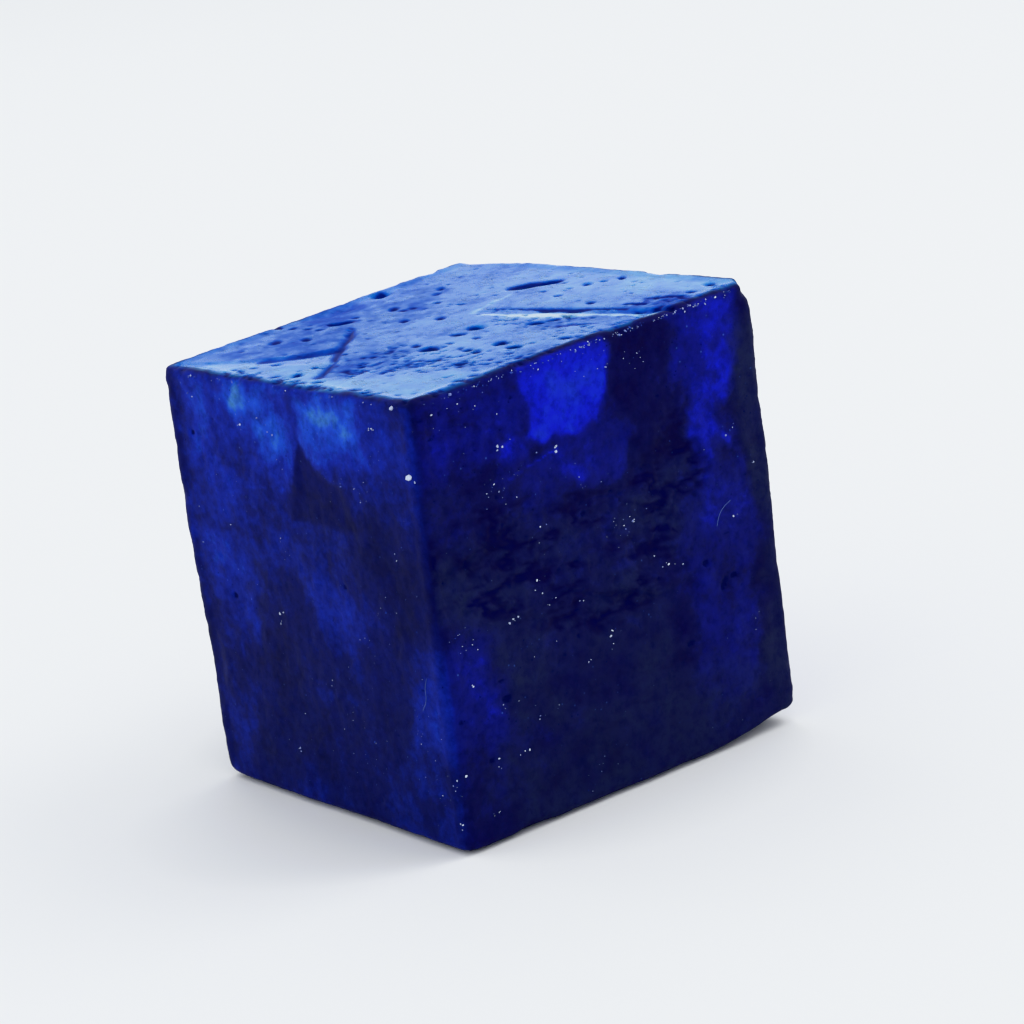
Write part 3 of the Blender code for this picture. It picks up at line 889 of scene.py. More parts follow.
# Where the surface is dull and greyish.
FROSTS: tuple[Mark, ...] = (
    Area(Face.RIGHT, ((-4.9, 7.2), (-2.6, 7.1), (-1.2, 6.7), (0.5, 6.7), (2.6, 7.2), (2.9, 5.6),
                      (1.9, 4.0), (1.8, 2.2), (1.5, 0.9), (-1.0, 0.9), (-3.1, 2.6), (-3.3, 4.3),
                      (-4.9, 5.0)), 0.66, 0.60, 1.0),
    Patch(Face.RIGHT, (0.00, 3.80), (8.00, 4.60), 0.34, 0.40, 1.0, 1.0, 0.3),
    Patch(Face.RIGHT, (0.00, 8.60), (8.00, 4.00), 0.14, 0.50, 1.0, 1.0, 0.3),
    Patch(Face.RIGHT, (0.20, 0.90), (4.60, 1.50), 0.74, 0.60),
    Patch(Face.RIGHT, (-2.60, 2.20), (1.60, 1.40), 0.55, 0.60),
    Area(Face.RIGHT, ((4.2, 9.8), (5.2, 9.8), (5.2, 0.0), (1.6, 0.0), (2.3, 1.0), (4.0, 0.9), (4.35, 3.0)),
         0.70, 0.40, 0.7),
    Patch(Face.RIGHT, (-4.10, 7.30), (0.80, 0.90), 0.35, 0.60),
    Patch(Face.FRONT, (2.10, 6.10), (2.40, 1.50), 0.22, 0.60),
    Patch(Face.FRONT, (-1.80, 2.10), (1.90, 2.20), 0.22, 0.60),
    Patch(Face.FRONT, (0.00, 2.60), (7.00, 3.60), 0.14, 0.50),
    Patch(Face.FRONT, (1.60, 3.60), (1.50, 0.90), 0.16, 0.60),
    Patch(Face.BACK, (0.80, 5.60), (2.60, 1.40), 0.60, 0.60),
    Patch(Face.LEFT, (0.40, 5.40), (2.60, 1.60), 0.60, 0.60),
)

# Where the surface is wrinkled and finely fissured.
WRINKLES: tuple[Mark, ...] = (
    Area(Face.RIGHT, ((-4.9, 7.3), (-2.6, 7.3), (-1.2, 6.9), (0.5, 6.8), (1.6, 7.6), (2.7, 8.2), (3.0, 6.4),
                      (2.2, 4.4), (1.0, 3.9), (-1.6, 4.2), (-3.1, 4.9), (-4.9, 5.6)), 1.0, 0.40, 1.0, 0.3),
    Patch(Face.RIGHT, (-3.20, 8.80), (1.30, 1.00), 0.35, 0.60),
    Patch(Face.RIGHT, (0.20, 2.60), (2.60, 1.60), 0.25, 0.60),
    Patch(Face.RIGHT, (4.00, 5.00), (0.80, 4.00), 0.25, 0.60),
    Patch(Face.FRONT, (1.50, 5.50), (2.60, 2.00), 0.18, 0.60),
    Patch(Face.FRONT, (-1.00, 2.50), (2.60, 1.60), 0.18, 0.60),
    Patch(Face.BACK, (0.60, 5.60), (3.20, 1.60), 0.80, 0.60),
    Patch(Face.LEFT, (0.40, 5.40), (3.20, 1.80), 0.80, 0.60),
)

# Cracks and pits that are finer than the solid's own. Their amounts are depths in millimetres.
HOLLOWS: tuple[Mark, ...] = (
    # The top.
    Line(Face.TOP, ((-2.50, -0.80), (-2.31, -0.87), (-1.77, -1.24), (-1.44, -1.59), (-1.00, -2.05),
                    (-0.56, -2.54), (0.17, -3.31), (0.54, -3.79)), 0.16, 0.024, 0.3),
    Line(Face.TOP, ((-3.34, -0.69), (-3.10, -0.50), (-2.86, -0.45)), 0.13, 0.05, 0.2),
    Line(Face.TOP, ((-1.10, -2.00), (-1.35, -2.45), (-1.78, -2.90), (-2.25, -3.25)), 0.20, 0.018, 0.3),
    Line(Face.TOP, ((0.02, 1.34), (0.70, 1.58), (1.32, 1.68), (1.90, 1.85), (2.86, 2.12), (3.63, 2.34)),
         0.13, 0.030, 0.15),
    Line(Face.TOP, ((3.40, 2.60), (3.75, 2.75)), 0.10, 0.05, 0.2),
    Line(Face.TOP, ((3.49, 3.09), (3.80, 3.27), (4.16, 3.46), (4.60, 3.21)), 0.07, 0.035, 0.3),
    *each(Pit, Face.TOP,
        ((-0.84, 3.14), (0.46, 0.26), 0.08, 50),
        ((-0.45, 3.52), (0.42, 0.20), 0.07, 55),
        ((0.97, 0.18), (0.24, 0.16), 0.05, 20),
        ((1.02, -0.36), (0.20, 0.10), 0.04, 30),
        ((1.31, -1.40), (0.24, 0.16), 0.05, 25),
        ((0.76, -1.34), (0.15, 0.10), 0.04),
        ((2.27, 0.88), (0.24, 0.18), 0.05, 30),
        ((2.50, 1.20), (0.16, 0.10), 0.05, 40),
        ((2.59, 1.55), (0.22, 0.09), 0.05, 10),
        ((2.80, -0.60), (0.22, 0.15), 0.05, -60),
        ((3.45, -0.72), (0.18, 0.14), 0.05, 20),
        ((2.42, -1.25), (0.15, 0.11), 0.04),
        ((2.82, -1.30), (0.15, 0.10), 0.04),
        ((3.22, -2.03), (0.20, 0.10), 0.04, 30),
        ((4.16, 0.12), (0.18, 0.11), 0.05, 30),
        ((-4.30, 1.51), (0.30, 0.18), 0.05, -40),
        ((-3.09, -0.54), (0.32, 0.18), 0.04, 50),
        ((-2.75, 0.72), (0.22, 0.13), 0.04, -40),
        ((-2.35, 0.70), (0.14, 0.10), 0.03),
        ((-2.29, 0.92), (0.12, 0.09), 0.03),
        ((-1.48, 0.10), (0.17, 0.10), 0.04, -30),
        ((-0.70, 0.49), (0.18, 0.11), 0.04, -40),
        ((-2.78, 2.01), (0.16, 0.09), 0.03, -50),
        ((-3.13, 2.45), (0.22, 0.09), 0.03, -50),
        ((-3.46, -2.18), (0.18, 0.12), 0.04, -30),
        ((-2.80, -1.82), (0.20, 0.11), 0.04, -30),
        ((-0.27, -3.86), (0.14, 0.10), 0.05, 20),
        ((0.75, 3.67), (0.16, 0.10), 0.04, -30),
        ((1.24, 4.27), (0.20, 0.09), 0.04, -40),
        ((2.25, 2.46), (0.14, 0.10), 0.04),
        ((1.72, -0.44), (0.10, 0.08), 0.04),
        ((4.11, 4.37), (0.18, 0.11), 0.04),
        ((-4.53, -1.37), (0.14, 0.09), 0.05),
        ((0.13, -1.62), (0.07, 0.05), 0.04),
        ((0.50, -1.88), (0.08, 0.06), 0.04),
        ((1.49, -0.95), (0.09, 0.06), 0.05),
        ((1.24, -1.34), (0.13, 0.12), 0.06),
        ((-1.63, -3.44), (0.16, 0.07), 0.05, 20),
        ((-1.97, -3.83), (0.09, 0.06), 0.05),
        ((-0.30, -3.35), (0.11, 0.08), 0.06, 20),
        ((-0.31, -3.83), (0.10, 0.08), 0.06, 20),
        ((0.16, -4.30), (0.13, 0.08), 0.06),
        ((0.51, -4.27), (0.15, 0.07), 0.06),
        ((0.81, -4.07), (0.16, 0.08), 0.06, 30),
        ((1.08, -4.42), (0.20, 0.09), 0.06),
        ((1.78, -4.41), (0.10, 0.06), 0.05),
        ((-0.32, -4.36), (0.16, 0.07), 0.05),
        ((-2.10, -4.07), (0.12, 0.06), 0.05),
        ((2.24, -2.10), (0.18, 0.08), 0.06, 25),
        ((4.09, -4.01), (0.07, 0.06), 0.04),
        ((3.78, -2.91), (0.08, 0.06), 0.04),
        ((2.42, 1.64), (0.17, 0.06), 0.06, 20),
        ((2.46, 1.24), (0.13, 0.08), 0.06, 30),
        ((1.12, 0.81), (0.09, 0.06), 0.05),
        ((1.44, 0.91), (0.07, 0.05), 0.04),
        ((3.54, 1.11), (0.20, 0.07), 0.04, 30),
        ((4.51, 0.71), (0.14, 0.10), 0.06, 20),
        ((2.87, -1.35), (0.10, 0.07), 0.05),
        ((3.11, -1.38), (0.06, 0.05), 0.04),
        ((4.23, -1.21), (0.08, 0.06), 0.04),
        ((1.80, -0.46), (0.08, 0.05), 0.04),
        ((3.68, -0.36), (0.06, 0.05), 0.04),
        ((0.14, 2.87), (0.09, 0.06), 0.05),
        ((0.90, 2.66), (0.11, 0.07), 0.06, 20),
        ((0.60, 3.25), (0.07, 0.05), 0.04),
        ((0.99, 3.94), (0.09, 0.07), 0.05),
        ((4.16, 3.76), (0.13, 0.08), 0.05),
        ((3.18, -1.90), (0.08, 0.05), 0.04),
        ((3.49, -1.87), (0.08, 0.05), 0.04),
        ((4.12, -1.68), (0.10, 0.06), 0.04),
        ((4.05, 2.30), (0.16, 0.08), 0.07, 20),
        ((4.35, 2.52), (0.13, 0.08), 0.06, 30),
        ((-2.03, 1.41), (0.11, 0.07), 0.05),
        ((-1.22, 1.48), (0.13, 0.06), 0.04, 20),
        ((-3.14, -0.12), (0.10, 0.08), 0.05),
        ((-4.11, -1.27), (0.09, 0.08), 0.06),
        ((-3.22, -1.12), (0.10, 0.07), 0.05),
        ((-3.64, -1.16), (0.12, 0.06), 0.05),
    ),
    PitField(Face.TOP, ((0.2, -1.2), (4.4, -1.0), (4.4, -2.2), (2.2, -3.2), (0.9, -3.9), (0.3, -3.4),
                        (-0.6, -2.3)),
             150, 0.055, 0.035, 3),
    *each(PitField, Face.TOP,
        (((-4.5, -4.2), (4.6, -4.3), (4.6, 4.5), (-4.5, 4.2)), 170, 0.042, 0.025, 4),
        (((-2.4, -4.55), (1.9, -4.55), (1.9, -4.20), (-2.4, -4.05)), 50, 0.07, 0.045, 5),
        (((0.6, -2.7), (1.1, -2.7), (1.4, -3.6), (0.9, -3.7)), 34, 0.06, 0.04, 6),
        (((1.5, -2.3), (2.5, -1.9), (2.3, -2.6), (1.9, -3.3)), 36, 0.06, 0.04, 7),
        (((0.3, 1.1), (4.5, 1.9), (4.5, 0.5), (2.5, 0.4), (0.8, 0.6)), 60, 0.055, 0.035, 8),
        (((3.2, 2.4), (4.6, 2.6), (4.6, 3.6), (3.6, 3.4)), 26, 0.06, 0.04, 9),
        (((-4.5, -4.25), (4.4, -4.25), (4.4, -4.70), (-4.5, -4.70)), 60, 0.09, 0.05, 15),
        (((4.35, -4.4), (4.75, -4.4), (4.75, 4.4), (4.35, 4.4)), 60, 0.09, 0.05, 16),
    ),
    # Left of the near corner.
    Pit(Face.FRONT, (-3.13, 4.64), (0.14, 0.10), 0.05),
    Pit(Face.FRONT, (-3.85, 8.39), (0.12, 0.09), 0.04),
    # Right of the near corner.
    *each(Line, Face.RIGHT,
        (((-4.6, 6.35), (-4.02, 6.36), (-3.63, 6.36), (-3.26, 6.46), (-2.96, 6.45)), 0.20, 0.020, 0.6),
        (((-3.10, 6.60), (-2.90, 6.86), (-2.50, 6.75)), 0.16, 0.020, 0.6),
        (((-0.20, 5.80), (0.18, 5.72), (0.38, 5.56), (0.91, 5.27), (1.28, 5.00)), 0.13, 0.019, 0.6),
        (((-1.84, 5.05), (-1.26, 5.06), (-0.86, 4.80), (-0.37, 4.60), (0.10, 4.47)), 0.15, 0.021, 0.6),
        (((0.40, 4.62), (0.79, 4.43), (1.14, 4.18), (1.35, 4.06)), 0.15, 0.021, 0.6),
        (((-3.12, 4.91), (-2.65, 4.80), (-2.07, 4.58)), 0.14, 0.019, 0.6),
        (((2.38, 6.30), (2.25, 5.95), (2.05, 5.60)), 0.13, 0.022, 1.0),
        (((-0.60, 6.75), (0.10, 6.66), (0.60, 6.70)), 0.18, 0.020, 0.6),
    ),
    *each(Pit, Face.RIGHT,
        ((2.73, 4.42), (0.14, 0.12), 0.05),
        ((3.22, 3.82), (0.22, 0.12), 0.05, 65),
        ((3.50, 3.92), (0.13, 0.10), 0.05),
        ((3.41, 4.95), (0.18, 0.09), 0.025),
        ((-3.14, 3.13), (0.20, 0.13), 0.04),
        ((-3.24, 3.56), (0.12, 0.08), 0.04),
        ((2.03, 2.78), (0.15, 0.12), 0.05),
        ((-1.00, 3.88), (0.07, 0.09), 0.04),
        ((-1.46, 3.60), (0.10, 0.07), 0.03),
        ((0.96, 3.06), (0.22, 0.16), 0.02),
        ((-1.43, 1.12), (0.28, 0.22), 0.02),
        ((-3.78, 1.91), (0.11, 0.09), 0.04),
        ((-4.44, 3.00), (0.10, 0.12), 0.03),
    ),
    PitField(Face.RIGHT, ((-4.6, 7.2), (2.6, 7.3), (2.4, 4.0), (-4.6, 4.6)), 50, 0.08, 0.03, 10),
    PitField(Face.RIGHT, ((0.6, 9.9), (2.5, 9.9), (2.6, 7.0), (1.0, 7.0)), 22, 0.08, 0.03, 11),
    PitField(Face.RIGHT, ((-4.6, 9.8), (-1.8, 9.8), (-1.8, 7.2), (-4.6, 7.2)), 26, 0.08, 0.03, 12),
    PitField(Face.RIGHT, ((-4.3, 4.0), (4.3, 4.0), (4.3, 0.4), (-4.3, 0.4)), 34, 0.07, 0.025, 13),
    PitField(Face.FRONT, ((-4.2, 9.8), (4.4, 9.8), (4.4, 0.4), (-4.2, 0.4)), 45, 0.07, 0.025, 14),
    # The sides away from the near corner.
    Line(Face.BACK, ((-3.60, 5.10), (-2.60, 4.70), (-1.40, 4.90), (-0.40, 4.40)), 0.15, 0.021, 0.8),
    Line(Face.BACK, ((0.60, 7.00), (1.60, 6.60), (2.60, 6.90)), 0.14, 0.019, 0.8),
    Line(Face.LEFT, ((-3.40, 6.70), (-2.20, 6.30), (-1.00, 6.60), (0.20, 6.20)), 0.15, 0.021, 0.8),
    Line(Face.LEFT, ((1.00, 4.60), (2.00, 4.90), (3.00, 4.40)), 0.14, 0.019, 0.8),
    PitField(Face.BACK, ((-4.2, 9.6), (4.4, 9.6), (4.4, 0.4), (-4.2, 0.4)), 80, 0.09, 0.032, 17),
    PitField(Face.LEFT, ((-4.2, 9.6), (4.4, 9.6), (4.4, 0.4), (-4.2, 0.4)), 80, 0.09, 0.032, 18),
)


# Finishes -------------------------------------------------------------------------------------


@dataclass(frozen=True)
class TanzaniteFinish:
    """The stone, with painted light: clear under a worn surface, navy where it is thick, cobalt where light
    comes through.

    Its blue is greener seen from the front or the back and purer seen from the right or the left.
    A noise is given by its scale, its detail and its roughness, and a pair holds what a value is
    multiplied by and what is then added.
    """

    refraction: float = 1.69
    clear_share: float = 0.5
    absorbed: Colour = (0.0, 0.22, 0.985)
    absorption_per_metre: float = 6000.0
    specular_level: float = 0.025
    specular_tint: Colour = (0.10, 0.12, 0.85)
    coat_roughness: float = 0.12
    # Painted shade: the colours that the hollows and the crevices are darkened to.
    side_hollow_shade: Colour = (0.007, 0.008, 0.050)
    top_hollow_shade: Colour = (0.004, 0.014, 0.180)
    crevice_shade: Colour = (0.010, 0.010, 0.040)
    frost_grey: Colour = (0.060, 0.065, 0.096)
    speck_blue: Colour = (0.16, 0.26, 0.80)
    fine_noise: Triple = (2.6, 7.0, 0.72)
    fine_range: float = 0.66
    grain_noise: Triple = (5.0, 5.0, 0.65)
    sheen_lost_in_hollows: float = -0.45
    crevice_shade_share: Ease = (0.28, 0.58, 0.42, 0.0)
    speck_share: Ease = (0.20, 0.70, 0.30, 1.0)
    hollow_share: Ease = (0.45, 1.0, 0.0, 0.92)
    dark_speck_share: float = 0.8
    side_roughness: float = 0.56
    frost_roughness: float = 0.10
    fine_roughness: float = 0.4
    top_roughness: Ease = (0.2, 0.6, 0.60, 0.14)
    gloss_by_sheen: Pair = (0.45, -0.15)
    gloss_of_hollows: float = -0.9
    grain_by_frost: Pair = (0.8, 0.3)
    grain_of_top: float = -0.7
    scratch_height: float = -0.25
    relief_height: float = 0.03
    # The sides' colours, from dark to bright along the painted light.
    cobalt: tuple[tuple[float, Colour], ...] = (
        (0.00, (0.025, 0.024, 0.062)),
        (0.25, (0.030, 0.033, 0.165)),
        (0.50, (0.038, 0.060, 0.560)),
        (0.75, (0.052, 0.150, 1.000)),
        (1.00, (0.160, 0.460, 1.000)),
    )
    violet_blue: tuple[tuple[float, Colour], ...] = (
        (0.00, (0.017, 0.012, 0.030)),
        (0.25, (0.030, 0.028, 0.095)),
        (0.50, (0.034, 0.036, 0.330)),
        (0.75, (0.040, 0.048, 1.000)),
        (1.00, (0.060, 0.100, 1.000)),
    )
    # The top's colours, from dark to pale: the stone's blue with a painted sheen and painted light.
    top_sheen_colours: tuple[tuple[float, Colour], ...] = (
        (0.00, (0.004, 0.016, 0.280)),
        (0.25, (0.004, 0.095, 0.680)),
        (0.50, (0.010, 0.265, 0.910)),
        (0.75, (0.110, 0.480, 0.970)),
        (1.00, (0.600, 0.830, 1.000)),
    )

    def build(self) -> bpy.types.Material:
        """Build the material.

        Returns:
            The finished material.
        """
        material = bpy.data.materials.new("Rough tanzanite")
        material.use_nodes = True
        graph = Graph(material.node_tree)
        shader = material.node_tree.nodes["Principled BSDF"]
        output = material.node_tree.nodes["Material Output"]
        place = self.place(graph)
        top = graph.attribute("top")
        hollow = graph.attribute("hollow")
        frost = graph.attribute("frost")
        fine = graph.math("MULTIPLY_ADD", graph.noise(place, *self.fine_noise), self.fine_range,
                          -self.fine_range / 2.0)
        grain = graph.noise(place, *self.grain_noise)
        # The painted sheen on the top, taken down in the hollows as painted shade.
        top_sheen = graph.math("MULTIPLY_ADD", hollow, self.sheen_lost_in_hollows,
                          graph.math("ADD", graph.attribute("top_sheen"), fine))
        graph.plug(shader.inputs["Base Color"], self.colour(graph, place, fine, grain, top_sheen))
        graph.plug(shader.inputs["Roughness"], self.roughness(graph, fine, top_sheen))
        graph.plug(shader.inputs["Coat Weight"], self.gloss(graph, top, top_sheen, hollow))
        graph.plug(shader.inputs["Normal"], self.relief(graph, place, grain, top, frost))
        shader.inputs["IOR"].default_value = self.refraction
        shader.inputs["Transmission Weight"].default_value = self.clear_share
        shader.inputs["Specular IOR Level"].default_value = self.specular_level
        shader.inputs["Specular Tint"].default_value = (*self.specular_tint, 1.0)
        shader.inputs["Coat Roughness"].default_value = self.coat_roughness
        inside = graph.node("ShaderNodeVolumeAbsorption")
        inside.inputs["Color"].default_value = (*self.absorbed, 1.0)
        inside.inputs["Density"].default_value = self.absorption_per_metre
        graph.plug(output.inputs["Volume"], inside.outputs[0])
        return material

    def place(self, graph: Graph) -> bpy.types.NodeSocket:
        """Give a point's place on the block, in millimetres.

        Args:
            graph: The material's tree.

        Returns:
            The place.
        """
        coordinates = graph.node("ShaderNodeTexCoord")
        inputs = {"Vector": coordinates.outputs["Object"], "Scale": (1 / MM, 1 / MM, 1 / MM)}
        return graph.node("ShaderNodeMapping", inputs).outputs[0]

    def colour(self, graph: Graph, place: bpy.types.NodeSocket, fine: bpy.types.NodeSocket,
               grain: bpy.types.NodeSocket, top_sheen: bpy.types.NodeSocket) -> bpy.types.NodeSocket:
        """Give the stone's colour: painted light in blue, the top's painted sheen, painted shade in hollows
        and crevices, specks.

        Args:
            graph: The material's tree.
            place: A point's place on the block, in millimetres.
            fine: A noise round 0 that varies the light.
            grain: A noise from 0 to 1 that says where the surface is rough.
            top_sheen: How strong the painted sheen on the top is.

        Returns:
            The colour.
        """
        # Painted light and shade on the sides, turned into blue below.
        light = graph.math("ADD", graph.attribute("light"), fine)
        sides = graph.mix(graph.attribute("turned"), graph.ramp(light, self.cobalt),
                          graph.ramp(light, self.violet_blue))
        sides = graph.mix(graph.attribute("frost"), sides, self.frost_grey)
        # Painted shade where the grain is low, as in crevices.
        sides = graph.mix(graph.between(grain, *self.crevice_shade_share), sides, self.crevice_shade)
        specks = graph.group(Specks().tree(), Vector=place, Scale=6.0, Radius=0.17, Share=0.10)
        near_light = graph.between(light, *self.speck_share)
        sides = graph.mix(graph.math("MULTIPLY", specks.outputs[0], near_light), sides, self.speck_blue)
        body = graph.mix(graph.attribute("top"), sides, graph.ramp(top_sheen, self.top_sheen_colours))
        # Painted shade in the hollows, and the dark specks.
        sunk = graph.between(graph.attribute("hollow"), *self.hollow_share)
        dark = graph.math("MAXIMUM", sunk, graph.math("MULTIPLY", specks.outputs[1], self.dark_speck_share))
        return graph.mix(dark, body, graph.mix(graph.attribute("top"), self.side_hollow_shade, self.top_hollow_shade))

    def roughness(self, graph: Graph, fine: bpy.types.NodeSocket,
                  top_sheen: bpy.types.NodeSocket) -> bpy.types.NodeSocket:
        """Give the roughness: waxy on the sides, smoother where the top's painted sheen is strong.

        Args:
            graph: The material's tree.
            fine: A noise round 0.
            top_sheen: How strong the painted sheen on the top is.

        Returns:
            The roughness.
        """
        frost = graph.attribute("frost")
        sides = graph.math("MULTIPLY_ADD", frost, self.frost_roughness, self.side_roughness)
        sides = graph.math("MULTIPLY_ADD", fine, self.fine_roughness, sides)
        above = graph.between(top_sheen, *self.top_roughness)
        return graph.math("MINIMUM", sides, graph.math("MULTIPLY_ADD", graph.attribute("top"), -1.0,
                                                       graph.math("ADD", above, 1.0)))

    def gloss(self, graph: Graph, top: bpy.types.NodeSocket, top_sheen: bpy.types.NodeSocket,
              hollow: bpy.types.NodeSocket) -> bpy.types.NodeSocket:
        """Give how strongly the surface shines: the top, most where its painted sheen is strong, but not in
        its hollows.

        Args:
            graph: The material's tree.
            top: Where the top is.
            top_sheen: How strong the painted sheen on the top is.
            hollow: Where a hollow is.

        Returns:
            The weight of the gloss.
        """
        shut = graph.math("MULTIPLY_ADD", hollow, self.gloss_of_hollows, 1.0)
        shine = graph.math("MULTIPLY_ADD", top_sheen, *self.gloss_by_sheen)
        return graph.math("MULTIPLY", graph.math("MULTIPLY", top, shut), shine, clamp=True)

    def relief(self, graph: Graph, place: bpy.types.NodeSocket, grain: bpy.types.NodeSocket,
               top: bpy.types.NodeSocket, frost: bpy.types.NodeSocket) -> bpy.types.NodeSocket:
        """Give the normal with the finest relief: grain on the sides, and scratches on the top.

        Args:
            graph: The material's tree.
            place: A point's place on the block, in millimetres.
            grain: A noise from 0 to 1 that gives the grain its height.
            top: Where the top is.
            frost: Where the surface is dull.

        Returns:
            The normal.
        """
        amount = graph.math("MULTIPLY_ADD", frost, *self.grain_by_frost)
        amount = graph.math("MULTIPLY", amount, graph.math("MULTIPLY_ADD", top, self.grain_of_top, 1.0))
        scratches = graph.group(Scratches().tree(), Vector=place, Scale=9.0, Width=0.02)
        top_lines = graph.math("MULTIPLY", scratches.outputs[0], top)
        height = graph.math("MULTIPLY_ADD", top_lines, self.scratch_height,
                            graph.math("MULTIPLY", grain, amount))
        inputs = {"Strength": 1.0, "Distance": self.relief_height * MM, "Height": height}
        return graph.node("ShaderNodeBump", inputs).outputs[0]


@dataclass(frozen=True)
class DustFinish:
    """Pale mineral dust: dull grains, some white and some that let the blue through.

    The roughness is the fine noise times its first number, plus its second.
    """

    pale: Colour = (0.66, 0.74, 0.86)
    blue: Colour = (0.03, 0.06, 0.36)
    fineness: float = 30.0
    unevenness: float = 0.4
    roughness: Pair = (0.3, 0.4)
    specular_level: float = 0.4

    def build(self) -> bpy.types.Material:
        """Build the material.

        Returns:
            The finished material.
        """
        material = bpy.data.materials.new("Mineral dust")
        material.use_nodes = True
        graph = Graph(material.node_tree)
        shader = material.node_tree.nodes["Principled BSDF"]
        coordinates = graph.node("ShaderNodeTexCoord")
        fine = graph.noise(coordinates.outputs["Object"], self.fineness / MM, 3.0)
        middle = graph.math("ADD", graph.attribute("paleness"), -self.unevenness / 2.0)
        share = graph.math("MULTIPLY_ADD", fine, self.unevenness, middle)
        graph.plug(shader.inputs["Base Color"], graph.mix(share, self.blue, self.pale))
        graph.plug(shader.inputs["Roughness"], graph.math("MULTIPLY_ADD", fine, *self.roughness))
        shader.inputs["Specular IOR Level"].default_value = self.specular_level
        return material


# The stone ------------------------------------------------------------------------------------


@dataclass(frozen=True)
class Relief:
    """A texture that roughens part of the surface.

    Args:
        group: The vertex group that says where.
        kind: The texture's type, in capitals.
        size: The size of its forms, in millimetres.
        depth: How deep it cuts, in millimetres.
        level: The share of the depth that lies inside the surface.
        settings: The texture's own settings.
    """

    group: str
    kind: str
    size: float
    depth: float
    level: float = 0.5
    settings: tuple[tuple[str, object], ...] = ()


@dataclass(frozen=True)
class Clouds:
    """A random pattern in space, in layers that get finer and weaker.

    Args:
        closeness: How closely its forms lie along each axis, in forms for each millimetre.
        fading: How quickly its layers get weaker.
        refining: How much finer each layer is than the one before.
        layers: The number of layers.
    """

    closeness: Triple
    fading: float
    refining: float
    layers: int

    def at(self, survey: Survey, closer: float = 1.0) -> np.ndarray:
        """Give the pattern at each vertex.

        Args:
            survey: Where each vertex lies.
            closer: How many times closer together its forms lie.

        Returns:
            One number for each vertex, round 0.
        """
        scale = Vector(self.closeness) * closer
        return np.array([noise.fractal(Vector(point) * scale, self.fading, self.refining, self.layers)
                         for point in survey.points])


